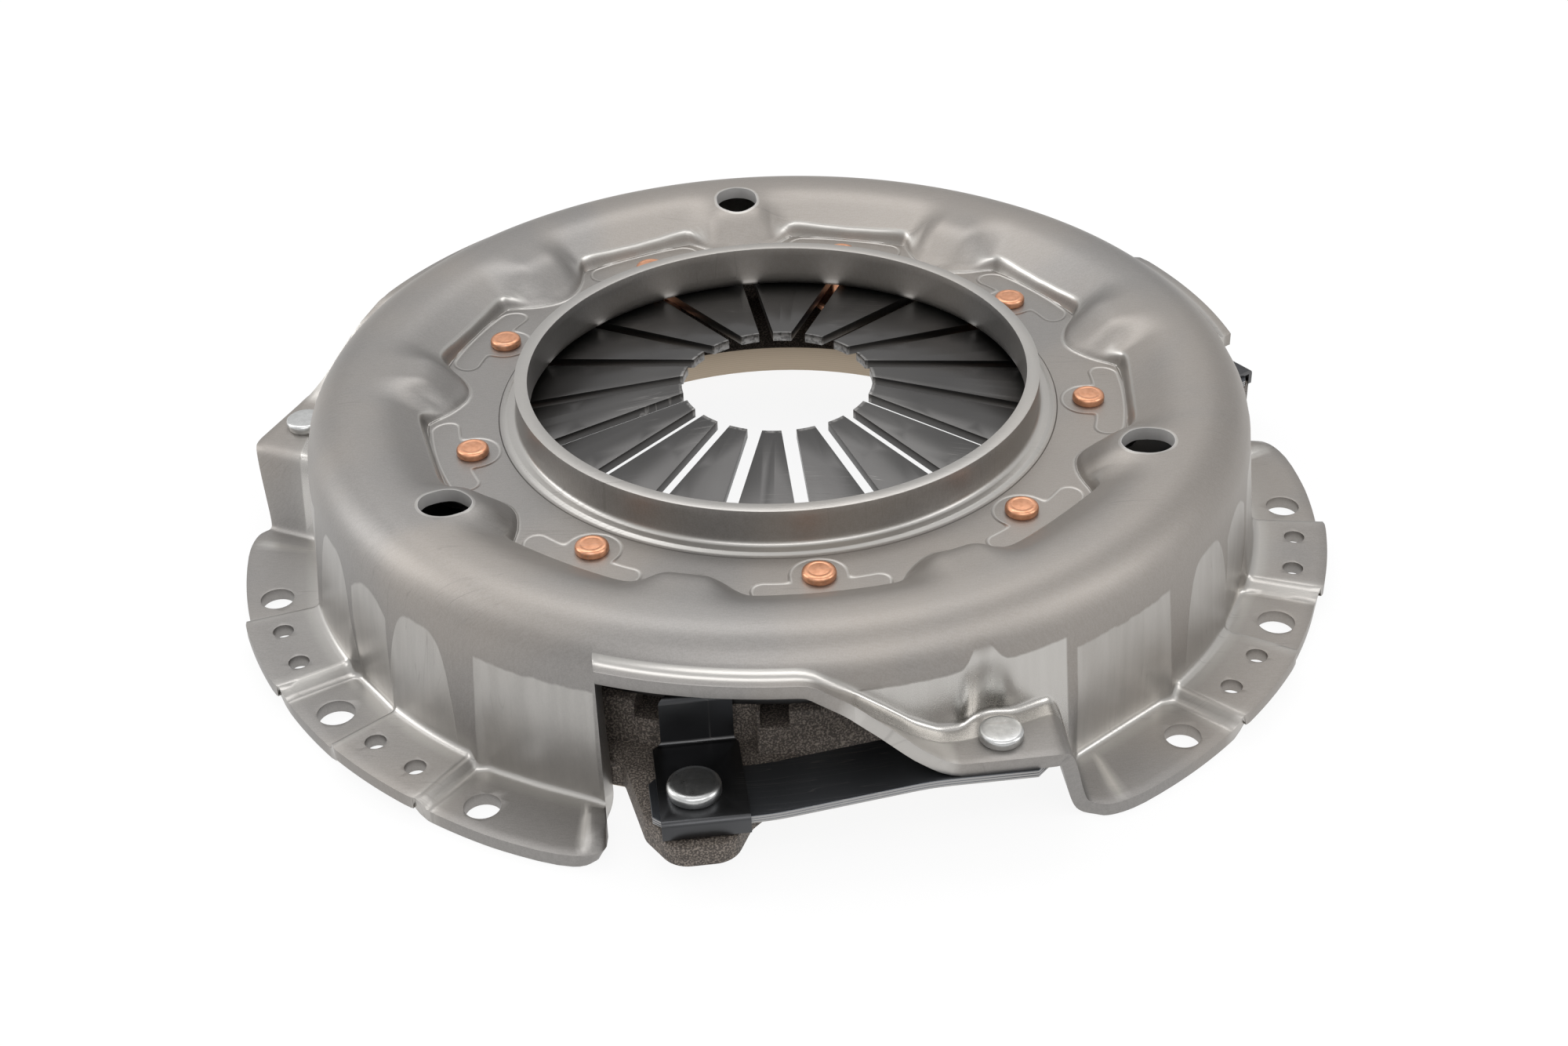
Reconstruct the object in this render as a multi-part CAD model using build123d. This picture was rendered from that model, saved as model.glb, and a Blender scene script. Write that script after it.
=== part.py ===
from build123d import *
import os
from math import asin, cos, hypot, radians, sin, sqrt, tan

# Clutch cover assembly. The origin is the centre of the bolt circle on the flange's mating face,
# +Z points away from the flywheel, and the clutch turns about Z. Millimetres and degrees.

# --- symmetry ---
SECTORS = 3                     # strap windows, flange sectors and drive lugs
WINDOW_AZIMUTH = -84.0          # middle of the first strap window
FULCRUM_RIVETS = 9
FINGERS = 18

# --- cover pressing ---
SHEET = 3.5
COLLAR_BORE = 136.0
COLLAR_TOP = 53.0
ANNULUS_TOP = 42.3              # flat ring that the fulcrum rivets hold
LOBE_FOOT = 84.0                # radius where the ramps between the pockets leave the annulus
LOBE_BROW = (96.0, 51.2)        # radius and height where a ramp turns into the crown
CROWN = (110.0, 52.3)
SHOULDER_TOP = 52.0
SKIRT_DRAFT = 5.7
SKIRT_FOOT = 132.35             # outside radius of the skirt carried down to the mating face
COLLAR_FILLET = 3.0
LOBE_FOOT_FILLET = 4.5
LOBE_BROW_FILLET = 12.0
CROWN_FILLET = 60.0
SHOULDER_RADIUS = 13.0
FLANGE_FILLET = 3.2

# --- pockets round the fulcrum rivets ---
POCKET_CORNER = 96.0            # radius of a pocket's outer corners
POCKET_HALF_ANGLE = 11.0
NOSE_APEX = 81.0                # radius where the walls of two pockets would meet
NOSE_RADIUS = 13.5
POCKET_CORNER_RADIUS = 4.0
POCKET_DRAFT = 22.0
DENT_EDGE = 96.7                # radius and height where the dent behind a pocket meets its back wall
DENT_HEIGHT = 46.0
DENT_END = 109.0                # radius where the dent's floor would come up to the crown
DENT_FILLET = 25.0
DENT_HALF_ANGLE = 9.6           # at the height of the pocket's floor; the sides slope out at 45

# --- drain slots in the crown ---
SLOT_RADIUS = 104.2
SLOT_LENGTH = 15.8
SLOT_WIDTH = 12.2

# --- flange ---
FLANGE_RADIUS = 150.2
RAISED_RADIUS = 151.8
RAISED_STEP = 3.6               # height of the raised pads over the bolt pads
MIDDLE_PAD_HALF = 4.9           # half angle of the middle bolt pad
END_PAD_START = 18.2            # angle from the sector's middle to an end bolt pad
FLANGE_CORNER = 7.0
BOLT_CIRCLE = 142.1             # radius
BOLT_SPREAD = 22.5
BOLT_HOLE = 9.1
PILOT_HOLE = 9.8                # the middle hole of each sector
TOOL_HOLE_CIRCLE = 143.0        # radius
TOOL_HOLE_SPREADS = (8.3, 14.3)
TOOL_HOLE = 5.5
WRENCH_FLAT = 129.2             # distance of the flats over the bolt pads from the axis
MIDDLE_FLAT_HALF = 9.0
END_FLAT_MIDDLE = 25.5          # angle of the end flats from the sector's middle
END_FLAT_HALF = 14.0

# --- strap windows and ears, in the window's own frame: U along the strap, N outward ---
WINDOW_LEFT = 57.0              # distance of the window's left edge from its middle
WINDOW_RIGHT = 57.4             # distance of the drop wall's foot
WINDOW_TOP = 41.4
WINDOW_TOP_END = -7.6           # U where the top edge starts to slope
LIP_RADIUS = 130.9              # outside of the lip turned out along the window's top
EAR_TOP = 25.5                  # top of the shelf that carries the strap
EAR_START = 21.0                # U where the slope reaches the shelf
EAR_END = 51.6                  # U where the shelf turns down
EAR_FRONT = 140.6               # N of the shelf's front edge
EAR_CORNER = 6.0
EAR_BEND = 1.6                  # inside bend radius of the ear
EAR_FOOT = 7.6                  # how far the ear's foot runs into the flange
WINDOW_DEPTH = 105.0            # N inside the skirt from which the windows are cut
SCALLOP_RADIUS = 9.6            # tool clearance round the strap rivet

# --- drive straps ---
STRAP_CIRCLE = 137.05           # radius of the strap rivets
STRAP_HALF_ANGLE = 15.3         # angle of each strap rivet from the window's middle
STRAP_LEAVES = 3
LEAF = 0.7
STRAP_WIDTH = 18.2
STRAP_OVERHANG = 10.4           # strap beyond its rivets
STRAP_FLAT = 17.5               # flat length from the rivet to the bend
STRAP_BEND = 70.0
STRAP_CHAMFER = 3.2
STRAP_HOLE = 7.2

# --- strap rivets ---
RIVET_FIT = 0.1                 # shank diameter under its hole
COVER_RIVET_HEAD = 10.7
COVER_RIVET_HEIGHT = 2.6
PLATE_RIVET_HEAD = 13.0
PLATE_RIVET_HEIGHT = 3.1
RIVET_TAIL = 10.6
RIVET_TAIL_HEIGHT = 2.3
HEAD_ROUND = 0.7

# --- pressure plate ---
FRICTION_FACE = 6.2
PLATE_BORE = 152.3
PLATE_RADIUS = 125.4
BORE_BAND = 8.0                 # height of the machined band in the bore
RIM_TOP = 12.6                  # top of the rim outside the ridge
BACK_TOP = 16.6                 # top of the plate's back where it meets the ridge
RIDGE_RADIUS = 112.0            # where the spring bears
RIDGE_INSIDE = 106.5
RIDGE_OUTSIDE = 118.6
RIDGE_CREST = 2.0               # rounding of the crest, and its fall to each side
RIDGE_SEAT_GAP = 0.1            # crest under the spring
RELIEF_COUNT = 24
RELIEF_WIDTH = 7.0
RELIEF_LENGTH = 20.0
RELIEF_FLOOR = 22.0
LUG_TIP = 145.2                 # N of the lug's tip
LUG_TIP_LEFT = -42.5            # U of the tip's corners
LUG_TIP_RIGHT = -28.5
LUG_NECK = 135.0                # N where the sides turn from the flare to the tip
LUG_NECK_LEFT = -48.4
LUG_NECK_RIGHT = -23.4
LUG_ROOT_LEFT = -52.0           # U of the flare's corners
LUG_ROOT_RIGHT = -13.0
LUG_ROUND = 7.0
LUG_UNDERSIDE = 7.0
STRAP_SEAT = 14.8               # top of the lug, under the strap
SEAT_FRONT = 140.9              # N where the lug steps down in front of the strap
TAIL_RECESS = 12.4
TAIL_RECESS_DEPTH = 2.9
CAST_ROUND = 1.5

# --- diaphragm spring and its fulcrum ---
FULCRUM_RADIUS = 92.0
WIRE = 3.8
SPRING = 2.6
CONE_ANGLE = 11.3
FINGER_TIP = 26.15
SPRING_RADIUS = 115.5
FINGER_SLOT = 4.0
KEYHOLE = 10.4
KEYHOLE_CIRCLE = 85.0           # also the circle of the fulcrum rivets

# --- fulcrum rivets ---
FULCRUM_HEAD = 8.7
FULCRUM_HEAD_HEIGHT = 2.3
FULCRUM_SHANK = 6.0
FULCRUM_SHOULDER = 7.2
FULCRUM_FOOT = 17.0
FULCRUM_FOOT_HEIGHT = 2.6

# --- retraction clips ---
CLIP = 1.3
CLIP_LEFT = -44.7               # U of the base's sides
CLIP_RIGHT = -24.0
CLIP_NECK_LEFT = -40.5          # U of the hook's sides
CLIP_NECK_RIGHT = -26.0
CLIP_FRONT = 142.9              # N of the clip's front edge
CLIP_SKIRT = 3.4                # how far the front edge is turned down below the base
CLIP_FOLD = 0.2                 # inside radius of that fold
CLIP_BACK = 114.2               # N of the outside of the riser
CLIP_REACH = 102.5              # N of the hook's end
CLIP_GAP = 0.4                  # clearance between the hook and the spring
CLIP_BEND = 1.0
CLIP_NOTCH_LEFT = -49.5         # U of the sides of the ridge's notch for the riser
CLIP_NOTCH_RIGHT = -19.5

FLANGE_AZIMUTH = WINDOW_AZIMUTH + 180 / SECTORS
SECTOR_PITCH = 360 / SECTORS
RIVET_PITCH = 360 / FULCRUM_RIVETS
STRAP_HALF_SPAN = STRAP_CIRCLE * sin(radians(STRAP_HALF_ANGLE))
STRAP_LINE = STRAP_CIRCLE * cos(radians(STRAP_HALF_ANGLE))
STRAP_STACK = STRAP_LEAVES * LEAF
CLIP_SEAT = STRAP_SEAT + STRAP_STACK
COLLAR_RADIUS = COLLAR_BORE / 2 + SHEET
ANNULUS_UNDERSIDE = ANNULUS_TOP - SHEET
CONE = radians(CONE_ANGLE)
TALL = 80.0                     # longer than any cut needs
WIDE = 220.0


def turned(shape, azimuth):
    return Rot(0, 0, azimuth) * shape


def around(shape, count, start=0.0):
    """Copies of a shape evenly spaced round Z."""
    return [turned(shape, start + i * 360 / count) for i in range(count)]


def upright_face(points, radii, closed_by, plane=Plane.XZ):
    """Upright face: a filleted run of points, closed through some plain corners."""
    run = FilletPolyline(*points, radius=radii)
    back = Polyline(points[-1], *closed_by, points[0])
    return make_face(plane * (run + back))


def spun(face, start=0.0, sweep=360.0):
    return turned(revolve(face, Axis.Z, sweep), start)


def sloping_wedge(start, end, grow, height):
    """Sector of a disc between two azimuths, grown by a distance at z = 0, its sides sloping in at 45."""
    steps = [start + (end - start) * i / 3 for i in range(4)]
    rim = [(WIDE * cos(radians(a)), WIDE * sin(radians(a))) for a in steps]
    sector = make_face(Polyline((0, 0), *rim, close=True))
    return extrude(offset(sector, grow, kind=Kind.INTERSECTION), height, taper=45)


def spring_top(radius):
    """Height of the spring's upper face at a radius."""
    return fulcrum_top()[1] - WIRE / 2 / cos(CONE) + (FULCRUM_RADIUS - radius) * tan(CONE)


def spring_underside(radius):
    return spring_top(radius) - SPRING / cos(CONE)


def fulcrum_top():
    """Radius and height of the upper ring's wire."""
    return FULCRUM_RADIUS, ANNULUS_UNDERSIDE - WIRE / 2


def fulcrum_bottom():
    """Radius and height of the lower ring's wire, square across the spring from the upper one."""
    across = WIRE + SPRING
    radius, height = fulcrum_top()
    return radius - across * sin(CONE), height - across * cos(CONE)


# ---------------------------------------------------------------- cover


def skirt_radius(height):
    return SKIRT_FOOT - height * tan(radians(SKIRT_DRAFT))


def cover_corners(flange_top, flange_radius):
    """Corners of the outside of the pressing, from the collar's rim to the flange's edge."""
    return [
        (COLLAR_RADIUS, COLLAR_TOP),
        (COLLAR_RADIUS, ANNULUS_TOP),
        (LOBE_FOOT, ANNULUS_TOP),
        LOBE_BROW,
        CROWN,
        (skirt_radius(SHOULDER_TOP), SHOULDER_TOP),
        (skirt_radius(flange_top), flange_top),
        (flange_radius, flange_top),
    ]


def cover_radii():
    return [COLLAR_FILLET, LOBE_FOOT_FILLET, LOBE_BROW_FILLET, CROWN_FILLET, SHOULDER_RADIUS, FLANGE_FILLET]


def side_normal(a, b):
    """Unit vector to the right of the way from a to b."""
    length = hypot(b[0] - a[0], b[1] - a[1])
    return (b[1] - a[1]) / length, (a[0] - b[0]) / length


def inset_corner(before, corner, after, depth):
    """Corner of a run moved square to both of its sides, to the right of the way along it."""
    n1, n2 = side_normal(before, corner), side_normal(corner, after)
    share = depth / (1 + n1[0] * n2[0] + n1[1] * n2[1])
    return corner[0] + (n1[0] + n2[0]) * share, corner[1] + (n1[1] + n2[1]) * share


def inset_end(end, a, b, depth):
    n = side_normal(a, b)
    return end[0] + n[0] * depth, end[1] + n[1] * depth


def underside(points, radii, depth):
    """The same run one sheet thickness to its right, with each bend's radius grown or shrunk to suit."""
    corners = list(zip(points, points[1:], points[2:]))
    inner = [inset_corner(a, b, c, depth) for a, b, c in corners]
    turns = []
    for (a, b, c), radius in zip(corners, radii):
        cross = (b[0] - a[0]) * (c[1] - b[1]) - (b[1] - a[1]) * (c[0] - b[0])
        turns.append(radius + depth if cross > 0 else radius - depth)
    first = inset_end(points[0], points[0], points[1], depth)
    last = inset_end(points[-1], points[-2], points[-1], depth)
    return [first] + inner + [last], turns


def form_above(flange_top, flange_radius):
    """Everything under the outside of the pressing, as if the cover were solid."""
    points = cover_corners(flange_top, flange_radius)
    base = [(flange_radius, 0), (COLLAR_BORE / 2, 0), (COLLAR_BORE / 2, COLLAR_TOP)]
    return spun(upright_face(points, cover_radii(), base))


def form_below(flange_top, flange_radius):
    """The room under the sheet, down past the mating face."""
    points, radii = underside(cover_corners(flange_top, flange_radius), cover_radii(), SHEET)
    base = [(WIDE, flange_top - SHEET), (WIDE, -1), (0, -1), (0, COLLAR_TOP)]
    return spun(upright_face(points, radii, base))


def raised_pads(grow):
    """Blocks over the raised pads, with the joggles as their sloping sides."""
    height = SHEET + RAISED_STEP + FLANGE_FILLET
    pads = []
    for sector in range(SECTORS):
        middle = FLANGE_AZIMUTH + sector * SECTOR_PITCH
        for side in (-1, 1):
            ends = sorted((side * MIDDLE_PAD_HALF, side * END_PAD_START))
            pads.append(sloping_wedge(middle + ends[0], middle + ends[1], grow, height))
    return pads


def pocket_outline(grow):
    """Edge of the sunken ring: nine straight-backed pockets with rounded noses between them."""
    points = []
    radii = []
    for rivet in range(FULCRUM_RIVETS):
        middle = WINDOW_AZIMUTH + rivet * RIVET_PITCH
        for angle, radius, bend in (
            (-POCKET_HALF_ANGLE, POCKET_CORNER, POCKET_CORNER_RADIUS),
            (POCKET_HALF_ANGLE, POCKET_CORNER, POCKET_CORNER_RADIUS),
            (RIVET_PITCH / 2, NOSE_APEX, NOSE_RADIUS),
        ):
            a = radians(middle + angle)
            points.append((radius * cos(a), radius * sin(a)))
            radii.append(bend)
    outline = make_face(FilletPolyline(*points, radius=radii, close=True))
    return offset(outline, grow) if grow else outline


def sunken_ring(floor, grow):
    """Drafted block over the sunken ring, outside the collar's fillet."""
    height = CROWN[1] + SHEET - floor
    block = Pos(0, 0, floor) * extrude(pocket_outline(grow), height, taper=-POCKET_DRAFT)
    collar = Pos(0, 0, floor) * extrude(Circle(COLLAR_RADIUS + COLLAR_FILLET), height)
    return block - collar


def pocket_dents(depth):
    """Blocks over the dents behind the pockets; depth is how far under the outer face their floor lies."""
    slope = (CROWN[1] - DENT_HEIGHT) / (DENT_END - DENT_EDGE)
    near = LOBE_FOOT
    far = CROWN[0] + 2 * SHOULDER_RADIUS
    run = [
        (near, DENT_HEIGHT - (DENT_EDGE - near) * slope),
        (DENT_END, CROWN[1]),
        (far, CROWN[1] + SHEET / 2),
    ]
    points, radii = underside(run, [DENT_FILLET], depth)
    over_floor = spun(upright_face(points, radii, [(far, TALL), (near, TALL)]))
    edges = (-DENT_HALF_ANGLE, 0, DENT_HALF_ANGLE)
    rim = [(WIDE * cos(radians(a)), WIDE * sin(radians(a))) for a in edges]
    slice_face = make_face(Polyline((0, 0), *rim, close=True))
    sector = offset(slice_face, depth * (sqrt(2) - 1), kind=Kind.INTERSECTION)
    wedge = Pos(0, 0, ANNULUS_TOP - depth) * extrude(sector, TALL - ANNULUS_TOP, taper=-45)
    return around(over_floor & wedge, FULCRUM_RIVETS, WINDOW_AZIMUTH)


def scallops(radius, floor):
    """Upright bores round the strap rivets, where the riveting tool comes down."""
    bore = Pos(STRAP_CIRCLE, 0, floor) * extrude(Circle(radius), TALL)
    return around(bore, SECTORS, WINDOW_AZIMUTH + STRAP_HALF_ANGLE)


def wrench_flats(depth):
    """Blocks that plane the skirt flat over the bolt pads, depth inside its outer face."""
    distance = WRENCH_FLAT - depth
    floor = SHEET - depth
    side = upright_face(
        [(distance, TALL), (distance, floor), (WIDE, floor)], [FLANGE_FILLET + depth], [(WIDE, TALL)])
    spots = ((0, MIDDLE_FLAT_HALF), (END_FLAT_MIDDLE, END_FLAT_HALF), (-END_FLAT_MIDDLE, END_FLAT_HALF))
    blocks = []
    for angle, half in spots:
        block = Pos(0, -half - depth, 0) * extrude(side, 2 * (half + depth), dir=(0, 1, 0))
        blocks += around(block, SECTORS, FLANGE_AZIMUTH + angle)
    return blocks


def in_windows(shape):
    """A shape drawn with X outward (N) and Y along the strap (U), set in each window."""
    return around(shape, SECTORS, WINDOW_AZIMUTH)


def ear_run():
    """Upper face of the sheet along the window: its top edge, the slope, the shelf and the drop wall."""
    return [
        (-WINDOW_LEFT, WINDOW_TOP + SHEET),
        (WINDOW_TOP_END, WINDOW_TOP + SHEET),
        (EAR_START, EAR_TOP),
        (EAR_END, EAR_TOP),
        (WINDOW_RIGHT, SHEET),
        (WINDOW_RIGHT + EAR_FOOT, SHEET),
    ]


def ear_radii():
    return [EAR_BEND + SHEET, EAR_BEND, EAR_BEND + SHEET, EAR_BEND]


def window_prism(points, radii, base):
    """Prism under a run of (U, Z) points, outward from inside the skirt."""
    face = upright_face(points, radii, [(points[-1][0], base), (points[0][0], base)], Plane.YZ)
    return Pos(WINDOW_DEPTH, 0, 0) * extrude(face, WIDE - WINDOW_DEPTH, dir=(1, 0, 0))


def ear_plan():
    """Plan of the ear and of the narrow lip along the window's top."""
    lip = Circle(LIP_RADIUS) & Pos(LIP_RADIUS, 0) * Rectangle(WINDOW_LEFT, 2 * WINDOW_LEFT)
    lip_end = sqrt(LIP_RADIUS ** 2 - WINDOW_TOP_END ** 2)
    foot = WINDOW_RIGHT + EAR_FOOT
    ear = make_face(FilletPolyline(
        (WINDOW_DEPTH, WINDOW_TOP_END),
        (lip_end, WINDOW_TOP_END),
        (EAR_FRONT, EAR_START + EAR_BEND),
        (EAR_FRONT, EAR_END - EAR_BEND),
        (EAR_FRONT - EAR_CORNER, WINDOW_RIGHT),
        (sqrt(FLANGE_RADIUS ** 2 - foot ** 2), foot),
        (WINDOW_DEPTH, foot),
        radius=[0, 0, EAR_CORNER, EAR_CORNER, EAR_CORNER / 2, 0, 0], close=True))
    return lip + ear


def ears_above():
    prism = window_prism(ear_run(), ear_radii(), 0)
    return in_windows(prism & extrude(ear_plan(), TALL))


def ears_below():
    points, radii = underside(ear_run(), ear_radii(), SHEET)
    return in_windows(window_prism(points, radii, -1))


def flange_corner_cut():
    """Rounds the flange's free corner beside the window's left edge."""
    reach = sqrt(FLANGE_RADIUS ** 2 - (WINDOW_LEFT + FLANGE_CORNER) ** 2) - FLANGE_CORNER
    middle = Pos(reach, -WINDOW_LEFT - FLANGE_CORNER)
    block = middle * Rectangle(FLANGE_CORNER * 2, FLANGE_CORNER * 2, align=(Align.MIN, Align.MIN))
    return Pos(0, 0, -1) * extrude(block - middle * Circle(FLANGE_CORNER), SHEET + 2)


def cover_holes():
    bolts = ((-BOLT_SPREAD, BOLT_HOLE), (0, PILOT_HOLE), (BOLT_SPREAD, BOLT_HOLE))
    bores = [(BOLT_CIRCLE, angle, bore) for angle, bore in bolts]
    for spread in TOOL_HOLE_SPREADS:
        bores += [(TOOL_HOLE_CIRCLE, side * spread, TOOL_HOLE) for side in (-1, 1)]
    cuts = []
    for radius, angle, bore in bores:
        hole = Pos(radius, 0, -1) * extrude(Circle(bore / 2), EAR_TOP - SHEET)
        cuts += around(hole, SECTORS, FLANGE_AZIMUTH + angle)
    strap_hole = Pos(STRAP_CIRCLE, 0, SHEET) * extrude(Circle(STRAP_HOLE / 2), EAR_TOP)
    cuts += around(strap_hole, SECTORS, WINDOW_AZIMUTH + STRAP_HALF_ANGLE)
    rivet_hole = Pos(KEYHOLE_CIRCLE, 0, 0) * extrude(Circle(FULCRUM_SHANK / 2), TALL)
    cuts += around(rivet_hole, FULCRUM_RIVETS, WINDOW_AZIMUTH)
    slot = Pos(SLOT_RADIUS, 0, ANNULUS_UNDERSIDE) * extrude(SlotOverall(SLOT_LENGTH, SLOT_WIDTH), TALL)
    return cuts + around(slot, SECTORS, FLANGE_AZIMUTH)


def make_cover():
    above = form_above(SHEET, FLANGE_RADIUS)
    below = form_below(SHEET, FLANGE_RADIUS)
    high_above = form_above(SHEET + RAISED_STEP, RAISED_RADIUS)
    high_below = form_below(SHEET + RAISED_STEP, RAISED_RADIUS)
    joggle = SHEET + RAISED_STEP / 2
    above += [high_above & pad for pad in raised_pads(joggle)]
    below += [high_below & pad for pad in raised_pads(joggle - SHEET * sqrt(2))]
    step_in = SHEET / cos(radians(POCKET_DRAFT)) - SHEET * tan(radians(POCKET_DRAFT))
    above -= sunken_ring(ANNULUS_TOP, 0)
    below -= sunken_ring(ANNULUS_UNDERSIDE, step_in)
    above -= pocket_dents(0) + wrench_flats(0) + scallops(SCALLOP_RADIUS, EAR_TOP)
    below -= pocket_dents(SHEET) + wrench_flats(SHEET) + scallops(SCALLOP_RADIUS + SHEET, EAR_TOP - SHEET)
    above += ears_above()
    below += ears_below()
    return above - below - cover_holes() - in_windows(flange_corner_cut())


# ---------------------------------------------------------------- diaphragm spring and fulcrum


def make_spring():
    """Coned ring whose inner part is cut into fingers; each slot ends in a round hole."""
    section = Polyline(
        (FINGER_TIP, spring_underside(FINGER_TIP)),
        (SPRING_RADIUS, spring_underside(SPRING_RADIUS)),
        (SPRING_RADIUS, spring_top(SPRING_RADIUS)),
        (FINGER_TIP, spring_top(FINGER_TIP)),
        close=True)
    cone = revolve(make_face(Plane.XZ * section), Axis.Z)
    slot = Rectangle(KEYHOLE_CIRCLE, FINGER_SLOT, align=(Align.MIN, Align.CENTER))
    slot += Pos(KEYHOLE_CIRCLE, 0) * Circle(KEYHOLE / 2)
    return cone - around(extrude(slot, TALL), FINGERS, WINDOW_AZIMUTH)


def make_fulcrum_ring(seat):
    radius, height = seat
    return Pos(0, 0, height) * Torus(radius, WIRE / 2)


def make_fulcrum_rivet():
    """Shouldered rivet: head over the cover, shoulder through the spring, foot under the lower ring."""
    foot_top = fulcrum_bottom()[1] - WIRE / 2
    stack = (
        (FULCRUM_FOOT, foot_top - FULCRUM_FOOT_HEIGHT, foot_top),
        (FULCRUM_SHOULDER, foot_top, ANNULUS_UNDERSIDE),
        (FULCRUM_SHANK - RIVET_FIT, ANNULUS_UNDERSIDE, ANNULUS_TOP),
        (FULCRUM_HEAD, ANNULUS_TOP, ANNULUS_TOP + FULCRUM_HEAD_HEIGHT),
    )
    return Pos(KEYHOLE_CIRCLE, 0, 0) * turned_stack(stack, ANNULUS_TOP + FULCRUM_HEAD_HEIGHT)


def turned_stack(stack, head_top):
    """Discs (diameter, bottom, top) on one axis, with the head's top edge rounded."""
    discs = [Pos(0, 0, low) * extrude(Circle(size / 2), high - low) for size, low, high in stack]
    rivet = Part() + discs
    crown = rivet.edges().filter_by(GeomType.CIRCLE).filter_by_position(Axis.Z, head_top, head_top)
    return fillet(crown, HEAD_ROUND)


# ---------------------------------------------------------------- pressure plate


def clip_notch():
    """Recess in the outside of the ridge for the riser of a clip."""
    near = CLIP_BACK - CLIP - CLIP_GAP
    width = CLIP_NOTCH_RIGHT - CLIP_NOTCH_LEFT
    middle = (CLIP_NOTCH_RIGHT + CLIP_NOTCH_LEFT) / 2
    block = Box(WIDE, width, TALL, align=(Align.MIN, Align.CENTER, Align.MIN))
    return Pos(near, middle, RIM_TOP) * fillet(block.edges().filter_by(Axis.Z), 2 * CAST_ROUND)


def lug():
    """Tongue that carries the strap and the clip, drawn in the window's frame."""
    inside = RIDGE_INSIDE
    outline = make_face(FilletPolyline(
        (inside, LUG_ROOT_LEFT - LUG_ROUND),
        (PLATE_RADIUS * cos(asin(LUG_ROOT_LEFT / PLATE_RADIUS)), LUG_ROOT_LEFT),
        (LUG_NECK, LUG_NECK_LEFT),
        (LUG_TIP, LUG_TIP_LEFT),
        (LUG_TIP, LUG_TIP_RIGHT),
        (LUG_NECK, LUG_NECK_RIGHT),
        (PLATE_RADIUS, LUG_ROOT_RIGHT),
        (inside, LUG_ROOT_RIGHT + LUG_ROUND),
        radius=[0] + [LUG_ROUND] * 6 + [0], close=True))
    tongue = Pos(0, 0, LUG_UNDERSIDE) * extrude(outline, STRAP_SEAT - LUG_UNDERSIDE)
    step = Pos(SEAT_FRONT, 0, RIM_TOP) * Box(WIDE, WIDE, TALL, align=(Align.MIN, Align.CENTER, Align.MIN))
    return tongue - step - extrude(Circle(RIDGE_RADIUS), TALL)


def plate_ring():
    """Turned casting: friction face below, ridge for the spring on top."""
    bore = PLATE_BORE / 2
    crest = spring_underside(RIDGE_RADIUS) - RIDGE_SEAT_GAP
    points = [
        (bore, FRICTION_FACE + BORE_BAND),
        (RIDGE_INSIDE - CAST_ROUND, BACK_TOP),
        (RIDGE_INSIDE, crest - RIDGE_CREST),
        (RIDGE_RADIUS, crest),
        (RIDGE_OUTSIDE - CAST_ROUND, crest - RIDGE_CREST),
        (RIDGE_OUTSIDE, RIM_TOP),
        (PLATE_RADIUS, RIM_TOP),
        (PLATE_RADIUS, FRICTION_FACE),
    ]
    radii = [CAST_ROUND, CAST_ROUND, RIDGE_CREST, CAST_ROUND, CAST_ROUND, CAST_ROUND]
    return spun(upright_face(points, radii, [(bore, FRICTION_FACE)]))


def ridge_reliefs():
    """Vents cast across the ridge, between the places where the spring bears."""
    middle = (RIDGE_INSIDE + RIDGE_OUTSIDE) / 2
    vent = Pos(middle, 0, RELIEF_FLOOR) * extrude(Rectangle(RELIEF_LENGTH, RELIEF_WIDTH), TALL)
    return around(vent, RELIEF_COUNT, WINDOW_AZIMUTH + 180 / RELIEF_COUNT)


def make_plate():
    plate = plate_ring() - ridge_reliefs() - in_windows(clip_notch()) + in_windows(lug())
    hole = Pos(STRAP_CIRCLE, 0, 0) * extrude(Circle(STRAP_HOLE / 2), TALL)
    recess = Pos(STRAP_CIRCLE, 0, 0) * extrude(Circle(TAIL_RECESS / 2), LUG_UNDERSIDE + TAIL_RECESS_DEPTH)
    azimuth = WINDOW_AZIMUTH - STRAP_HALF_ANGLE
    return plate - around(hole, SECTORS, azimuth) - around(recess, SECTORS, azimuth)


# ---------------------------------------------------------------- straps, clips and their rivets


def sheet_face(one, one_radii, other, other_radii, plane):
    """Face between the two sides of a bent sheet."""
    ends = Line(one[0], other[0]) + Line(one[-1], other[-1])
    sides = FilletPolyline(*one, radius=one_radii) + FilletPolyline(*other, radius=other_radii)
    return make_face(plane * (sides + ends))


def make_leaf(index):
    """One spring leaf: flat on the lug, flat under the ear, with an easy S bend between."""
    high = EAR_TOP - SHEET - STRAP_STACK
    end = STRAP_HALF_SPAN + STRAP_OVERHANG
    bend = STRAP_HALF_SPAN - STRAP_FLAT
    seat = [(-end, STRAP_SEAT), (-bend, STRAP_SEAT), (bend, high), (end, high)]
    lower, lower_radii = underside(seat, [STRAP_BEND, STRAP_BEND], -index * LEAF)
    upper, upper_radii = underside(seat, [STRAP_BEND, STRAP_BEND], -(index + 1) * LEAF)
    face = sheet_face(lower, lower_radii, upper, upper_radii, Plane.YZ)
    band = extrude(face, STRAP_WIDTH / 2, both=True)
    chamfered = chamfer(Rectangle(STRAP_WIDTH, 2 * end).vertices(), STRAP_CHAMFER)
    holes = [Pos(0, side * STRAP_HALF_SPAN) * Circle(STRAP_HOLE / 2) for side in (-1, 1)]
    plan = extrude(chamfered - holes, TALL)
    return Pos(STRAP_LINE, 0, 0) * (band & plan)


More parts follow.
